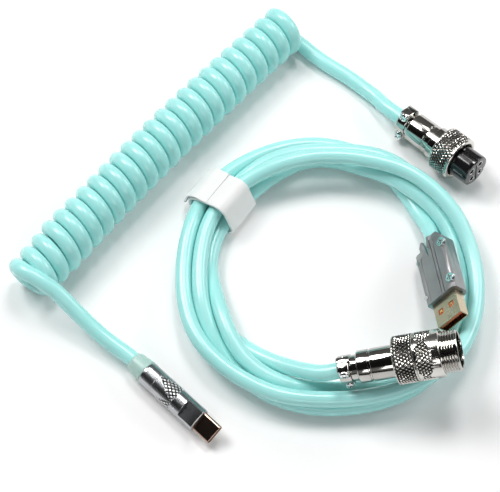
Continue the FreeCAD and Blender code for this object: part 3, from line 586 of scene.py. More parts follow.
# From the USB-C plug to the coil
USB_C_TAIL = [
    (-36.550, -59.698, 5.060), (-40.331, -56.073, 5.070), (-43.991, -52.324, 5.040),
    (-47.978, -48.930, 5.127), (-52.202, -45.845, 5.434), (-56.333, -42.684, 6.057),
    (-60.286, -39.402, 7.079), (-64.120, -36.148, 8.549), (-67.845, -32.983, 10.434),
    (-71.454, -29.903, 12.657), (-75.196, -27.005, 14.901), (-79.372, -24.410, 16.700),
    (-83.833, -21.884, 17.747)]
# From the coil to the round plug
PLUG_TAIL = [
    (20.196, 95.081, 3.170), (24.092, 91.392, 3.170), (27.992, 87.713, 3.170),
    (32.085, 84.248, 3.246), (36.417, 81.081, 3.233), (40.720, 77.876, 3.193),
    (44.823, 74.418, 3.244), (48.783, 70.803, 3.442), (52.462, 66.967, 4.149),
    (55.750, 62.350, 5.420), (59.954, 57.844, 6.519), (63.596, 54.314, 7.052),
    (67.524, 50.507, 7.627)]

CABLE_R = 3.15
COIL_START = np.array((-81.2015, -14.3633, 0.0))
COIL_AXIS = np.array((0.65051161, 0.75949631, 0.0))
COIL_SIDE = np.array((-COIL_AXIS[1], COIL_AXIS[0], 0.0))
COIL_PITCH = 6.6985
COIL_LENGTH = 21 * COIL_PITCH
COIL_R = 7.3057
COIL_TURNS = 23.44
COIL_BOW = 1.86  # sideways bow at mid-length


def coil_points(per_turn=8):
    """Centre line of the coil, from the round plug's end back to the USB-C end."""
    count = int(COIL_TURNS * per_turn)
    out = []
    for i in range(count + 1):
        phase = TAU * (COIL_TURNS * i / count - 1.25)
        s = COIL_LENGTH - COIL_PITCH * phase / TAU
        bow = COIL_BOW * (1 - (2 * s / COIL_LENGTH - 1) ** 2)
        # the turns are wider towards the USB-C end
        wider = 0.3 * (1 - ease((s - 90.0) / 40.0)) + 0.6 * (1 - ease(s / 34.0))
        r = COIL_R + ease((s - 2.0) / 14.0) * wider
        centre = COIL_START + COIL_AXIS * s + COIL_SIDE * bow + UP * (r + CABLE_R + 0.02)
        out.append(centre + (COIL_SIDE * math.cos(phase) + UP * math.sin(phase)) * r)
    return np.array(out)


def chord_lengths(points):
    return np.concatenate([[0], np.cumsum(np.linalg.norm(np.diff(points, axis=0), axis=1))])


def spline(points, step):
    """Natural cubic spline by chord length, sampled about every step mm: points,
    tangents, lengths along the path."""
    P = np.asarray(points, float)
    n = len(P)
    knots = chord_lengths(P)
    h = np.diff(knots)
    matrix = np.zeros((n, n))
    rhs = np.zeros((n, 3))
    matrix[0, 0] = matrix[-1, -1] = 1
    for i in range(1, n - 1):
        matrix[i, i - 1:i + 2] = h[i - 1], 2 * (h[i - 1] + h[i]), h[i]
        rhs[i] = 6 * ((P[i + 1] - P[i]) / h[i] - (P[i] - P[i - 1]) / h[i - 1])
    curve = np.linalg.solve(matrix, rhs)
    s = np.linspace(0, knots[-1], int(round(knots[-1] / step)) + 1)
    k = np.clip(np.searchsorted(knots, s, side="right") - 1, 0, n - 2)
    a = ((knots[k + 1] - s) / h[k])[:, None]
    b = ((s - knots[k]) / h[k])[:, None]
    hk = h[k][:, None]
    path = (a * P[k] + b * P[k + 1]
            + ((a ** 3 - a) * curve[k] + (b ** 3 - b) * curve[k + 1]) * hk ** 2 / 6)
    tangent = ((P[k + 1] - P[k]) / hk
               + (-(3 * a ** 2 - 1) * curve[k] + (3 * b ** 2 - 1) * curve[k + 1]) * hk / 6)
    return path, tangent / np.linalg.norm(tangent, axis=1)[:, None], s


def tube(path, tangents, radius, segments):
    """Round tube with flat ends; double reflection keeps its rings from twisting."""
    ref = UP if abs(tangents[0][2]) < 0.8 else np.array((1.0, 0, 0))
    sides = [unit(ref - tangents[0] * ref.dot(tangents[0]))]
    for i in range(len(path) - 1):
        move = path[i + 1] - path[i]
        square = move.dot(move)
        side = sides[i] - move * (2 / square * move.dot(sides[i]))
        tangent = tangents[i] - move * (2 / square * move.dot(tangents[i]))
        turn = tangents[i + 1] - tangent
        square = turn.dot(turn)
        if square > 1e-12:
            side = side - turn * (2 / square * turn.dot(side))
        sides.append(unit(side - tangents[i + 1] * side.dot(tangents[i + 1])))
    sides = np.array(sides)
    ups = np.cross(tangents, sides)
    theta = angles(segments)
    around = (sides[:, None, :] * np.cos(theta)[None, :, None]
              + ups[:, None, :] * np.sin(theta)[None, :, None])
    verts = path[:, None, :] + radius * around
    return verts.reshape(-1, 3), capped_faces(len(path), segments)


def cable_piece(name, path, tangents, node_name, segments=28):
    """Length of cable: a round tube along the path, in place of the imported node, which is
    hidden.
    """
    verts, faces = tube(path, tangents, CABLE_R, segments)
    ob = build(name, (verts + SHIFT, faces), WORLD, [MINT])
    shade(ob, 60)
    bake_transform(ob)
    ob.data.update()
    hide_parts(node_name)


COIL_SPLIT = 45.0  # where the coiled lead is divided into two pieces

coil = coil_points()[::-1]
control = np.concatenate([np.array(USB_C_TAIL), coil, np.array(PLUG_TAIL)])
path, tangents, along = spline(control, 0.8)
cut = int(np.searchsorted(along, COIL_SPLIT))
cable_piece("coil_cable_tail", path[:cut + 1], tangents[:cut + 1],
            "coil_cable")
cable_piece("coil_cable_coil", path[cut:], tangents[cut:],
            "coil_cable")

path, tangents, along = spline(LOOP, 1.15)
half = len(path) // 2
cable_piece("straight_cable_start", path[:half + 1], tangents[:half + 1],
            "straight_cable")
cable_piece("straight_cable_end", path[half:], tangents[half:],
            "straight_cable")


# ------------------------------------------------------------------ knurls and threads
def diamond(theta, z, teeth, radius, lead, flat):
    """Groove depth 0..1 of a diamond knurl; flat is the share left as tooth tops."""
    u = teeth * theta / TAU
    v = z * (teeth / (TAU * radius)) * lead
    a, b = np.mod(u + v, 1.0), np.mod(u - v, 1.0)
    gap = np.minimum(np.minimum(a, 1 - a), np.minimum(b, 1 - b)) * 2
    return 1 - np.clip(gap / (1 - flat), 0, 1)


def knurl_relief(teeth, radius, depth, z0, z1, mask=None):
    def relief(theta, z):
        d = diamond(theta, z - z0, teeth, radius, lead=0.7, flat=0.34)
        d = d * np.clip(np.minimum(z - z0, z1 - z) / 0.4, 0, 1)
        if mask is not None:
            d = d * mask(theta, z)
        return -depth * d
    return relief


def thread_relief(pitch, depth, z0, z1):
    def relief(theta, z):
        wave = np.abs(2 * np.mod(z / pitch - theta / TAU, 1.0) - 1)
        d = np.clip((wave - 0.1) / 0.8, 0, 1)
        return -depth * d * np.clip(np.minimum(z - z0, z1 - z) / 0.35, 0, 1)
    return relief


def shaded_groove_ids(data, top_radius, z0, z1):
    """1 for faces lying in the knurl's grooves, which take the near-black metal as painted shade.
    """
    verts, faces = data
    c = verts[np.asarray(faces)].mean(axis=1)
    below = top_radius - np.hypot(c[:, 0], c[:, 1])
    return ((below > 0.2) & (below < 0.8) & (c[:, 2] > z0) & (c[:, 2] < z1)).astype(int)


# ------------------------------------------------------------------ barrels and cable clamps
# Saddle on the -Y side and bar on the +Y side of the cable, (x, y)
SADDLE = ([(-6.6, -0.3), (-6.6, -1.7), (-6.3, -2.3), (-5.7, -2.55), (-4.78, -2.55)]
          + arc(5.4, 208.2, 331.8)
          + [(4.78, -2.55), (5.7, -2.55), (6.3, -2.3), (6.6, -1.7), (6.6, -0.3), (3.5, -0.3)]
          + arc(3.5, -6, -174) + [(-3.5, -0.3)])
BAR = ([(6.6, 0.3), (6.6, 3.0), (6.35, 3.6), (5.8, 3.9), (3.75, 3.9)]
       + arc(5.4, 46.5, 133.5)
       + [(-3.75, 3.9), (-5.8, 3.9), (-6.35, 3.6), (-6.6, 3.0), (-6.6, 0.3), (-3.5, 0.3)]
       + arc(3.5, 174, 6) + [(3.5, 0.3)])
# Clamp screw (height along local Y, radius), and its cross slot
SCREW = [(-2.7, 0.9), (3.86, 0.9), (3.9, 1.7), (4.0, 1.88), (4.7, 1.9), (5.02, 1.78),
         (5.25, 1.5), (5.38, 1.1), (5.42, 0.5)]
SCREW_X = 4.9
SLOT_HALF_LENGTH, SLOT_HALF_WIDTH = 1.2, 0.26
# Barrels (z, radius, setback)
SOCKET_BARREL = [
    (6.3, 3.5, 0.1), (6.3, 5.0, 0.1), (8.8, 5.0, 0.1), (8.8, 5.85, 0.15), (9.2, 6.25, 0.2),
    (13.3, 6.25, 0.12), (13.55, 5.9, 0.05), (14.05, 5.9, 0.05), (14.3, 6.25, 0.12),
    (25.0, 6.25, 0.1), (25.0, 4.7, 0.1), (9.2, 4.7, 0.1), (9.2, 3.5, 0.1)]
PLUG_BARREL = [
    (4.2, 3.5, 0.1), (4.2, 5.0, 0.1), (5.3, 5.0, 0.1), (5.3, 5.8, 0.15), (5.7, 6.2, 0.2),
    (13.7, 6.2, 0.12), (13.95, 5.85, 0.05), (14.45, 5.85, 0.05), (14.7, 6.2, 0.12),
    (19.5, 6.2, 0.1), (19.5, 4.7, 0.1), (6.8, 4.7, 0.1), (6.8, 3.5, 0.1)]


def clamp_screw(name, place, body, x, z, slot_angle, replaces):
    theta = angles(48)
    rings = np.concatenate([ring(radius, theta, height) for height, radius in SCREW])
    # stand the screw along local Y
    verts = np.stack([rings[:, 0] + x, rings[:, 2], -rings[:, 1] + z], -1)
    ob = build(name, (verts, capped_faces(len(SCREW), len(theta))), place, [CHROME])
    clean(ob)
    cos, sin = math.cos(math.radians(slot_angle)), math.sin(math.radians(slot_angle))
    slots = []
    for a, b in ((SLOT_HALF_LENGTH, SLOT_HALF_WIDTH), (SLOT_HALF_WIDTH, SLOT_HALF_LENGTH)):
        outline = [(x + p * cos - q * sin, z + p * sin + q * cos)
                   for p, q in rectangle(-a, a, -b, b)]
        slots.append(tool_along_y(outline, 4.75, 6.0, place))
    boolean(ob, slots)
    finish_piece(ob, body, replaces, angle=30, mat=CHROME)


def clamp_group(tag, place, body, z0, z1, barrel, slot_angles):
    add_piece(tag + "_barrel", lathe(barrel, 120, 3), place, [NICKEL], body,
              (tag + "_backshell",), angle=34)
    add_piece(tag + "_saddle", prism(SADDLE, z0, z1 + 0.2, edge=0.45, edge_steps=4), place,
              [NICKEL], body, angle=34)
    add_piece(tag + "_bar", prism(BAR, z0 + 0.1, z1 - 0.25, edge=0.6, edge_steps=5), place,
              [NICKEL], body, (tag + "_clamp_bar",), angle=34)
    middle = (z0 + z1) / 2
    clamp_screw(tag + "_screw_left", place, body, -SCREW_X, middle, slot_angles[0],
                (tag + "_clamp_screws",))
    clamp_screw(tag + "_screw_right", place, body, SCREW_X, middle, slot_angles[1], ())


clamp_group("socket", SOCKET_CLAMP, "round_socket", z0=1.5, z1=6.4, barrel=SOCKET_BARREL,
            slot_angles=(20, 65))
clamp_group("plug", PLUG_CLAMP, "round_plug", z0=-0.5, z1=4.3, barrel=PLUG_BARREL,
            slot_angles=(40, 10))

# ------------------------------------------------------------------ round plug
# Profiles are (z, radius, setback).
FRONT_SHELL = [(17.0, 6.25, 0.1), (17.0, 6.9, 0.15), (26.6, 6.9, 0.05), (26.8, 7.35, 0.12),
               (28.3, 7.35, 0.25), (28.3, 6.25, 0.12)]
add_piece("plug_front_shell", lathe(FRONT_SHELL), PLUG, [NICKEL], "round_plug",
          ("plug_front_shell",))

NUT_TEETH = 40
NUT_R = 9.25
NUT_BORE = 7.5
NUT = [(20.6, 7.05, 0.1), (20.6, 9.0, 0.35), (21.0, NUT_R, 0.2), (29.8, NUT_R, 0.2),
       (30.2, 8.9, 0.3), (30.2, 7.75, 0.15), (29.8, NUT_BORE, 0.1), (24.6, NUT_BORE, 0.05),
       (24.6, 8.15, 0.05), (22.7, 8.15, 0.05), (22.7, 7.05, 0.1)]
nut = lathe(NUT, NUT_TEETH * 6, 3, zone=(21.4, 29.2, 9.2, 9.3), step=0.22,
            relief=knurl_relief(NUT_TEETH, NUT_R, depth=0.42, z0=21.4, z1=29.2))
# knurled faces in the lighter nickel (painted highlight), groove faces in near-black metal
# (painted shade)
add_piece("plug_coupling_nut", nut, PLUG, [NICKEL_KNURL_PAINTED_HIGHLIGHT, GROOVE_PAINTED_SHADE], "coupling_nut",
          ("plug_coupling_nut",), angle=28, ids=shaded_groove_ids(nut, NUT_R, 21.5, 29.1))
# thread in the bore
NUT_THREAD = [(24.8, NUT_BORE, 0.0), (29.7, NUT_BORE, 0.0), (29.7, 7.9, 0.0), (24.8, 7.9, 0.0)]
nut_thread = lathe(NUT_THREAD, 96, 1, zone=(24.8, 29.7, 7.4, 7.6), step=0.125,
                   relief=thread_relief(pitch=1.0, depth=0.22, z0=24.8, z1=29.7))
add_piece("plug_nut_thread", nut_thread, PLUG, [NICKEL], "coupling_nut", angle=28)

# Lengthwise grooves in the insert: angle in degrees, half width in radians, depth
KEYWAYS = ((90, 0.17, 0.85), (212, 0.10, 0.45), (328, 0.10, 0.45), (20, 0.07, 0.35),
           (160, 0.07, 0.35))
# Insert stations (z, radius); those from KEYED_FROM on carry the grooves
INSERT = [(20.7, 5.8), (20.7, 6.18), (28.5, 6.18), (28.6, 6.68), (28.9, 6.7), (29.25, 6.7)]
INSERT += [(z, 6.7) for z in np.linspace(29.6, 37.9, 8)]
INSERT += [(38.1, 6.66), (38.3, 6.54), (38.44, 6.34), (38.5, 6.07)]
KEYED_FROM = 29.25
HOLE_CIRCLE_R = 3.5


def insert_data(n=180):
    theta = angles(n)
    keys = np.zeros(n)
    rings = []
    for z, radius in INSERT:
        keys = np.full(n, float(radius))
        if z >= KEYED_FROM:
            for degrees, half_width, depth in KEYWAYS:
                offset = np.mod(theta - math.radians(degrees) + math.pi, TAU) - math.pi
                keys = keys - depth * np.clip((half_width - np.abs(offset)) / 0.03, 0, 1)
        rings.append(ring(keys, theta, z))
    return np.concatenate(rings), capped_faces(len(rings), n)


ob = build("plug_insert", insert_data(), PLUG, [BLACK])
hole_angles = [math.pi / 4 + k * math.pi / 2 for k in range(4)]
holes = [(HOLE_CIRCLE_R * math.cos(a), HOLE_CIRCLE_R * math.sin(a)) for a in hole_angles]
tools = [tool_along_z(circle(1.5, 40, x, y), 31.0, 40.0, PLUG) for x, y in holes]
tools.append(tool_along_z(rectangle(-0.3, 0.3, -5.6, 4.2), 38.1, 39.5, PLUG))
boolean(ob, tools)
finish_piece(ob, "round_plug", ("plug_insulator",), angle=30, mat=BLACK)
HOLE_TUBE = [(37.6, 1.22, 0.03), (37.6, 1.46, 0.03), (38.5, 1.46, 0.06), (38.5, 1.22, 0.08)]
for letter, (x, y) in zip("abcd", holes):
    verts, faces = lathe(HOLE_TUBE, 32, 3)
    add_piece("plug_hole_tube_" + letter, (verts + np.array((x, y, 0)), faces), PLUG, [CHROME],
              "round_plug", ("plug_contacts",) if letter == "a" else ())

# ------------------------------------------------------------------ round socket
SLEEVE_TEETH = 38
SLEEVE_R = 9.2
SLEEVE_GROOVE_Z = 31.4  # ring groove between the two knurled bands


def front_band_mask(theta, z):
    """Four knurled patches with slanting ends round the band towards the nose."""
    u = np.abs(np.mod(theta / TAU * 4 + 0.12, 1.0) * 2 - 1)
    patch = np.clip((1.25 - u - np.abs(z - 34.6) / 5.0) / 0.06, 0, 1)
    return patch if z > SLEEVE_GROOVE_Z else 1.0


rear_band = knurl_relief(SLEEVE_TEETH, SLEEVE_R, depth=0.44, z0=23.4, z1=31.0)
front_band = knurl_relief(SLEEVE_TEETH, SLEEVE_R, depth=0.40, z0=31.8, z1=38.0,
                          mask=front_band_mask)


def sleeve_relief(theta, z):
    away = abs(z - SLEEVE_GROOVE_Z)
    if away < 0.35:
        return -0.32 * np.clip(1 - away / 0.22, 0, 1)
    return rear_band(theta, z) if z < 31.2 else front_band(theta, z)


SLEEVE = [(23.0, 8.05, 0.1), (23.0, 8.95, 0.3), (23.35, SLEEVE_R, 0.15),
          (40.6, SLEEVE_R, 0.2), (41.0, 8.8, 0.25), (41.0, 8.05, 0.1)]
sleeve = lathe(SLEEVE, SLEEVE_TEETH * 6, 3, zone=(23.4, 38.0, 9.15, 9.25), step=0.21,
               relief=sleeve_relief)
# knurled faces in the lighter nickel (painted highlight), groove faces in near-black metal
# (painted shade)
add_piece("socket_sleeve", sleeve, SOCKET, [NICKEL_KNURL_PAINTED_HIGHLIGHT, GROOVE_PAINTED_SHADE], "round_socket",
          ("socket_sleeve",), angle=28, ids=shaded_groove_ids(sleeve, SLEEVE_R, 23.5, 37.9))

# M16 x 1 thread on the nose
THREADED_SHELL = [(23.2, 6.3, 0.1), (23.2, 7.98, 0.1), (46.9, 7.98, 0.05), (47.5, 7.55, 0.15),
                  (47.5, 7.0, 0.2), (47.1, 6.9, 0.1), (27.0, 6.9, 0.1), (27.0, 6.3, 0.1)]
shell = lathe(THREADED_SHELL, 120, 3, zone=(41.2, 46.9, 7.9, 8.05), step=0.1,
              relief=thread_relief(pitch=1.0, depth=0.5, z0=41.2, z1=46.9))
add_piece("socket_threaded_shell", shell, SOCKET, [NICKEL], "round_socket",
          ("socket_threaded_shell",), angle=28)

# ------------------------------------------------------------------ USB-C plug
GRIP_R = 4.8
GRIP_KNURL_Z, GRIP_KNURL_LENGTH = 6.3, 9.9
GRIP_THETA = angles(252)
# Rings of the grip: kind, z, value. The value is the radius of a "bore" ring and the
# outward offset of an "outer" or "mouth" ring; "knurl" and "pin" rings don't use it.
GRIP_ROWS = [("bore", 18.5, 4.25), ("bore", 0.1, 4.25), ("bore", 0.0, 4.35),
             ("outer", 0.0, -0.25), ("outer", 0.08, -0.08), ("outer", 0.3, 0.0)]
GRIP_ROWS += [("outer", z, 0.0) for z in np.arange(1.2, 6.0, 1.2)]
GRIP_ROWS += [("outer", 6.0, 0.0), ("outer", 6.12, -0.09), ("outer", 6.24, 0.0)]
GRIP_ROWS += [("knurl", z, 0.0) for z in np.arange(GRIP_KNURL_Z, 16.21, 0.11)]
GRIP_ROWS += [("outer", 16.3, 0.0), ("outer", 16.42, -0.09), ("outer", 16.54, 0.0)]
GRIP_ROWS += [("pin", z, 0.0) for z in np.arange(16.8, 19.9, 0.15)]
GRIP_ROWS += [
    ("outer", 20.6, 0.0), ("outer", 21.02, 0.0), ("outer", 21.1, -0.06),
    ("outer", 21.14, 0.0), ("outer", 21.3, 0.0), ("outer", 24.5, 0.0),
    ("outer", 27.95, 0.0), ("outer", 28.22, -0.07), ("outer", 28.36, -0.2),
    ("outer", 28.4, -0.36), ("mouth", 28.4, 0.12), ("mouth", 28.32, 0.03),
    ("mouth", 28.1, 0.0), ("mouth", 22.5, 0.0), ("mouth", 19.0, 0.0)]


def stadium_radius(theta, width, height):
    """Radius of a stadium width x height in the directions theta."""
    centre, cap = width / 2 - height / 2, height / 2
    out = []
    for cos, sin in zip(np.abs(np.cos(theta)), np.abs(np.sin(theta))):
        t = cap / sin if sin > 1e-6 else 1e9
        if t * cos > centre:
            t = cos * centre + math.sqrt(max(cap * cap - (centre * sin) ** 2, 0))
        out.append(t)
    return np.array(out)


def panel_edge(theta, z):
    """Negative inside the three tapering knurled panels, positive outside."""
    wave = np.abs(np.mod((theta - math.radians(52)) / (TAU / 3) + 0.5, 1.0) * 2 - 1)
    return wave - (z - GRIP_KNURL_Z) / GRIP_KNURL_LENGTH


def grip_radius(kind, z, value):
    theta = GRIP_THETA
    if kind == "bore":
        return np.full(len(theta), value)
    if kind == "outer":
        r = np.full(len(theta), GRIP_R)
        if z > 21.1:  # two flats towards the nose
            r = np.minimum(r, 3.25 / np.maximum(np.abs(np.sin(theta)), 1e-3))
        return r + value
    if kind == "mouth":
        return stadium_radius(theta, 8.44 + 2 * value, 2.74 + 2 * value)
    if kind == "pin":  # small round dimple
        across = (np.mod(theta - math.radians(117) + math.pi, TAU) - math.pi) * GRIP_R
        distance = np.sqrt(across ** 2 + (z - 18.3) ** 2)
        return GRIP_R - 0.55 * np.clip((0.55 - distance) / 0.18, 0, 1)
    d = diamond(theta, z - GRIP_KNURL_Z, teeth=18, radius=GRIP_R, lead=0.75, flat=0.5)
    edge = panel_edge(theta, z)
    border = np.clip(1 - np.abs(edge) / 0.035, 0, 1)
    return GRIP_R - 0.38 * d * np.clip(-edge / 0.03, 0, 1) - 0.12 * border


segments = len(GRIP_THETA)
verts = np.concatenate([ring(grip_radius(*row), GRIP_THETA, row[1]) for row in GRIP_ROWS])
faces = grid_faces(len(GRIP_ROWS), segments, closed=True)
# slots: 0 smooth metal, 1 knurled panels in lighter gunmetal (painted highlight), 2 their grooves
# in near-black metal (painted shade)
corners = np.array(faces)
face_rows = corners[:, 0] // segments
face_z = np.array([row[1] for row in GRIP_ROWS])[face_rows]
knurled = np.array([row[0] == "knurl" for row in GRIP_ROWS])[face_rows]
knurled &= panel_edge(GRIP_THETA[corners[:, 0] % segments], face_z) < 0
face_radius = np.hypot(verts[:, 0], verts[:, 1])[corners].mean(axis=1)
ids = knurled.astype(int)
# groove faces of the panels get the near-black metal: painted shade
ids[knurled & (face_radius < GRIP_R - 0.12)] = 2
add_piece("usb_c_grip", (verts, faces), USB_C, [GUNMETAL, GUNMETAL_PANEL_PAINTED_HIGHLIGHT, GROOVE_PAINTED_SHADE],
          "usb_c_plug", ("usb_c_sleeve",), angle=30, ids=ids, weld=True)

COLLAR = [(-7.0, 3.28, 0.15), (-7.0, 3.75, 0.35), (-6.3, 4.15, 0.3), (-0.6, 4.78, 0.25),
          (-0.05, 4.72, 0.2), (-0.05, 3.28, 0.1)]
add_piece("usb_c_collar", lathe(COLLAR), USB_C, [RELIEF], "usb_c_plug",
          ("usb_c_strain_relief",))


def stadium(width, height, n=24):
    centre, cap = width / 2 - height / 2, height / 2
    quarter = math.pi / 2
    return np.array([(x + cap * math.cos(t), cap * math.sin(t))
                     for x, start in ((centre, -quarter), (-centre, quarter))
                     for t in np.linspace(start, start + math.pi, n)])


# Shell tube rings: inset from the 8.25 x 2.56 outline, z
SHELL_ROWS = [(0.3, 21.9), (0.0, 21.9), (0.0, 23.4), (0.0, 36.15), (0.03, 36.4),
              (0.10, 36.55), (0.18, 36.6), (0.27, 36.52), (0.3, 36.3), (0.3, 28.4)]
verts = np.concatenate([np.column_stack([stadium(8.25 - 2 * inset, 2.56 - 2 * inset),
                                         np.full(48, z)]) for inset, z in SHELL_ROWS])
add_piece("usb_c_shell_tube", (verts, grid_faces(len(SHELL_ROWS), 48, closed=True)), USB_C,
          [SHELL_STEEL], "usb_c_plug", ("usb_c_shell",), angle=40, weld=True)

# ------------------------------------------------------------------ USB-A plug
# (x, z) outline of the shoulder round the cable
SHOULDER = [(-4.6, -2.6), (-3.6, -4.5), (5.0, -4.5), (7.3, -1.2), (7.58, 0.6), (-4.6, 0.6)]


def case_half(side, sign, grooves):
    """Housing half on the sign side of local Y: adds the shoulder, then cuts the cable
    hole, chamfers and grooves, given as (x0, x1, z0, z1, y0, y1)."""
    ob = copy_node("usb_a_housing_" + side, "usb_a_case_" + side, USB_A)

    def along_y(outline, inner, outer):
        y0, y1 = (inner, outer) if sign > 0 else (-outer, -inner)
        return tool_along_y(outline, y0, y1, USB_A)
    boolean(ob, [along_y(SHOULDER, 0.04, 3.7)], "UNION")
    tools = [
        tool_along_z(circle(3.5, 48), -6.0, 1.9, USB_A),
        along_y([(-2.9, -5.5), (0.4, -5.5), (-0.9, 4.9)], 2.6, 4.8),
        tool_along_z([(-7.7, 3.1 * sign), (-6.9, 4.1 * sign), (-8.0, 4.6 * sign)], -6, 27, USB_A),
        tool_along_z([(7.75, 2.6 * sign), (8.4, 4.8 * sign), (6.2, 4.2 * sign)], -6, 27, USB_A),
        along_y([(-8.2, -0.4), (-6.0, -0.4), (-7.8, 1.6), (-8.2, 1.6)], -0.1, 4.9)]
    tools += [tool_along_y(rectangle(*groove[:4]), *groove[4:], USB_A) for groove in grooves]
    boolean(ob, tools)
    finish_piece(ob, "usb_a_plug", ("usb_a_housing_" + side,), angle=24, mat=ZINC)


case_half("top", 1, [(-5.05, -4.5, 3.2, 24.9, 3.56, 4.6), (0.95, 1.4, -2.4, 26.0, 3.58, 4.6),
                     (2.4, 2.85, -2.4, 26.0, 3.58, 4.6)])
case_half("bottom", -1, [(x - 0.25, x + 0.25, 6.0, 24.0, -4.6, -3.6)
                         for x in (-3.4, -1.1, 1.1, 3.4)])
ob = copy_node("usb_a_shell", "usb_a_shell_tube", USB_A)
finish_piece(ob, "usb_a_plug", ("usb_a_shell",), angle=25, mat=GOLD)
# small spring tongues in the two windows
for side, x in (("left", -2.75), ("right", 2.75)):
    tongue = prism(rectangle(x - 0.5, x + 0.5, 1.9, 2.08), 29.8, 31.3, edge=0.06, edge_steps=2)
    add_piece("usb_a_spring_" + side, tongue, USB_A, [CONTACT], "usb_a_plug", angle=30)

# ------------------------------------------------------------------ strap
# Cable centres in the strap's cross-section (sideways, height), raised by BUNDLE_LIFT
BUNDLE_LIFT = 1.42
BUNDLE = [(-0.20, 3.15), (-6.54, 3.17), (-2.59, 9.02), (4.65, 7.25), (0.17, 3.33),
          (-6.26, 3.17), (-2.44, 9.53), (5.97, 6.04), (-0.42, 4.05), (-6.90, 3.17),
          (-4.01, 10.52), (5.92, 4.71)]
STRAP_CENTRE = np.array((-11.6255, 17.1295, 0))
BUNDLE_AXIS = np.array((0.58424992, 0.8115738, 0))
BUNDLE_SIDE = np.array((-BUNDLE_AXIS[1], BUNDLE_AXIS[0], 0))
STRAP_WIDTH = 16.0


def hull(points):
    """Convex hull, counter-clockwise."""
    points = sorted(set(points))

    def chain(sequence):
        out = []
        for p in sequence:
            while len(out) > 1:
                (ax, ay), (bx, by) = out[-2:]
                if (bx - ax) * (p[1] - ay) - (by - ay) * (p[0] - ax) > 0:
                    break
                out.pop()
            out.append(p)
        return out
    return np.array(chain(points)[:-1] + chain(points[::-1])[:-1])


def hull_track(corners, radius, step=0.55):
    """(hull point, outward normal) pairs round the rounded hull, in order."""
    out = []
    for i, p in enumerate(corners):
        q = corners[(i + 1) % len(corners)]
        before = unit((p - corners[i - 1])[[1, 0]] * (1, -1))
        after = unit((q - p)[[1, 0]] * (1, -1))
        a0, a1 = math.atan2(before[1], before[0]), math.atan2(after[1], after[0])
        while a1 < a0:
            a1 += TAU
        count = max(1, int((a1 - a0) * radius / step))
        for j in range(count + 1):
            a = a0 + (a1 - a0) * j / count
            out.append((p, np.array((math.cos(a), math.sin(a)))))
        count = max(1, int(np.linalg.norm(q - p) / step))
        for j in range(1, count):
            out.append((p + (q - p) * j / count, after))
    return out


def strap_section(thickness, width, edge=0.42, edge_steps=4, across=9):
    """Rounded flat section: (outward, sideways) pairs, counter-clockwise."""
    edge = min(edge, thickness * 0.45)
    top, side = thickness - edge, width / 2 - edge
    out = []
    for x, y, start in ((top, side, 0), (edge, side, 90), (edge, -side, 180),
                        (top, -side, 270)):
        for k in range(edge_steps + 1):
            a = math.radians(start + 90 * k / edge_steps)
            out.append((x + edge * math.cos(a), y + edge * math.sin(a)))
        if start == 90:
            out += [(0.0, b) for b in np.linspace(side, -side, across)[1:-1]]
        if start == 270:
            out += [(thickness, b) for b in np.linspace(-side, side, across)[1:-1]]
    return out


def strap_mesh(track, inner, thickness, width, closed, lift=None, thin=None):
    """Strap on a track, its inside at radius inner. lift moves each ring out, thin scales
    its thickness."""
    section = strap_section(thickness, width)
    lift = lift or [0.0] * len(track)
    thin = thin or [1.0] * len(track)
    verts = []
    for i, (p, normal) in enumerate(track):
        for a, b in section:
            across = 2 * b / width
            crown = 0.10 * (1 - across ** 2) if a > thickness * 0.5 else 0
            ripple = 0.10 * math.sin(i * 0.31 + 1.3) * across ** 3
            q = p + normal * (inner + a * thin[i] + crown + ripple + lift[i])
            verts.append(STRAP_CENTRE + BUNDLE_SIDE * q[0] + UP * q[1] + BUNDLE_AXIS * b)
    m, n = len(track), len(section)
    faces = grid_faces(m, n, closed=True) if closed else capped_faces(m, n)
    return np.array(verts) + SHIFT, faces


track = hull_track(hull([(a, b + BUNDLE_LIFT) for a, b in BUNDLE]), radius=4.0)
add_piece("strap_band", strap_mesh(track, 3.52, 1.15, STRAP_WIDTH, closed=True), WORLD, [STRAP],
          "straight_lead", ("strap_band",), angle=50, weld=True)

# The loose end: a second layer on one flank, from its low tip up to the top. The tip
# stands off the band; the layer thins out towards the tip's far end.
outside = [p + normal * 4.8 for p, normal in track]
kept = [i for i, q in enumerate(outside) if q[0] > 1.2 and q[1] > 4.6]
i = [i for i in kept if (i - 1) % len(track) not in kept][0]
run = []
while i in kept:
    run.append(track[i])
    i = (i + 1) % len(track)
m = len(run)
TAB_INNER = 3.50 + 1.2
SHADE_LAYER_STEP = 0.22  # the white layer lies this far outside the inner face of the dark grey layer, whose dark colour is painted shade
lift = [0.14 + 1.5 * max(0.0, 1 - k / (0.30 * m)) ** 2 for k in range(m)]
thin = [0.12 + 0.88 * float(ease((m - 1 - k) / (0.45 * m))) for k in range(m)]
tab_lift = [x + SHADE_LAYER_STEP * t for x, t in zip(lift, thin)]
add_piece("strap_tab", strap_mesh(run, TAB_INNER, 0.75, STRAP_WIDTH, False, tab_lift, thin),
          WORLD, [STRAP], "strap_end", ("strap_tab",), angle=50, weld=True)
# Thin dark grey layer under the tab: painted shadow line along the gap between the tab and the
# band
add_piece("strap_tab_painted_shade_layer", strap_mesh(run, TAB_INNER, 0.24, 15.8, False, lift, thin),
          WORLD, [PAINTED_SHADE_CLOTH], "strap_end", angle=50, weld=True)

# ------------------------------------------------------------------ studio
FLOOR_HALF = 4000
mat, tree, bsdf = material("studio_floor")
mottle = noise(tree, coords(tree), scale=12, detail=3, roughness=0.5)
feed(tree, bsdf, {
    "Base Color": ramp(tree, mottle, [(0.3, (0.955, 0.945, 0.945)), (0.7, (0.97, 0.96, 0.96))]),
    "Roughness": 0.65, "Specular IOR Level": 0.2})
floor_corners = [(x, y, 0) for x, y in rectangle(-FLOOR_HALF, FLOOR_HALF,
                                                 -FLOOR_HALF, FLOOR_HALF)]
build("floor", (floor_corners, [(0, 1, 2, 3)]), WORLD, [mat])

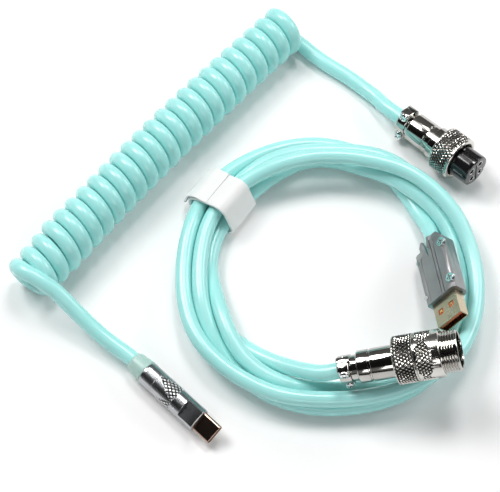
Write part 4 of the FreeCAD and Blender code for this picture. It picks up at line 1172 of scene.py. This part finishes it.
# Light bands seen in reflections: degrees from straight up (positive to the front), level
BANDS = [(-100, 0.16), (-36, 0.22), (-33, 1.9), (-20, 1.9), (-16, 0.015), (50, 0.012),
         (57, 0.26), (76, 0.30), (82, 0.02), (92, 0.05), (100, 0.4)]
DIFFUSE_SKY = (0.30, 0.31, 0.31, 1)
BACKDROP = (0.95, 0.96, 0.96, 1)
world = bpy.data.worlds.new("studio")
scene.world = world
world.use_nodes = True
tree = world.node_tree
rays = node(tree, "ShaderNodeLightPath").outputs
direction = node(tree, "ShaderNodeTexCoord").outputs["Generated"]
axes = node(tree, "ShaderNodeSeparateXYZ", {0: direction}).outputs
forward = combine(tree, "MULTIPLY", axes["Y"], -1.0)
tilt = combine(tree, "ARCTAN2", forward, axes["Z"])
turn = node(tree, "ShaderNodeMapRange", {
    "From Min": -math.pi, "From Max": math.pi, "Value": tilt}).outputs["Result"]
glow = ramp(tree, turn, [((degrees + 180.0) / 360.0, (level, level * 0.99, level * 0.97))
                         for degrees, level in BANDS])
sky = node(tree, "ShaderNodeMix", {
    "A": DIFFUSE_SKY, "B": glow, "Factor": rays["Is Glossy Ray"]}, data_type="RGBA")
seen = node(tree, "ShaderNodeMix", {
    "A": sky.outputs["Result"], "B": BACKDROP, "Factor": rays["Is Camera Ray"]},
    data_type="RGBA")
feed(tree, tree.nodes["Background"], {"Color": seen.outputs["Result"], "Strength": 1.0})


def area_light(name, location, size, power, size_y=None, target=(0, 0, 0)):
    """Rectangular light aimed at target; metres and watts."""
    light = bpy.data.lights.new(name, "AREA")
    light.shape = "RECTANGLE"
    light.size, light.size_y = size, size_y or size
    light.energy = power
    ob = bpy.data.objects.new(name, light)
    scene.collection.objects.link(ob)
    ob.location = location
    ob.rotation_mode = "QUATERNION"
    ob.rotation_quaternion = (Vector(target) - Vector(location)).to_track_quat("-Z", "Y")


area_light("key", (-0.55, 0.42, 0.95), size=0.46, power=14.0)
area_light("top", (0.15, 0.55, 1.15), size=0.36, power=9.0)
area_light("rim_right", (0.85, 0.35, 0.55), size=0.5, power=5.0, size_y=0.25,
           target=(0.02, 0, 0))
area_light("front", (0.1, -0.95, 0.55), size=0.7, power=3.5, size_y=0.3)

CAMERA_PITCH = math.radians(63.0)  # above the horizon
CAMERA_DISTANCE = 0.700  # metres
camera_data = bpy.data.cameras.new("camera")
camera = bpy.data.objects.new("camera", camera_data)
scene.collection.objects.link(camera)
camera_data.sensor_width = 36.0
camera_data.lens = 126.0
camera_data.clip_start, camera_data.clip_end = 0.01, 20.0
back = Vector((0, -math.cos(CAMERA_PITCH), math.sin(CAMERA_PITCH)))
camera.location = Vector((SHIFT * MM).tolist()) + back * CAMERA_DISTANCE
camera.rotation_mode = "QUATERNION"
camera.rotation_quaternion = (-back).to_track_quat("-Z", "Y")
scene.camera = camera
scene.view_settings.view_transform = "Standard"
scene.view_settings.look = "None"
scene.view_settings.exposure = -0.76
scene.view_settings.gamma = 1.0
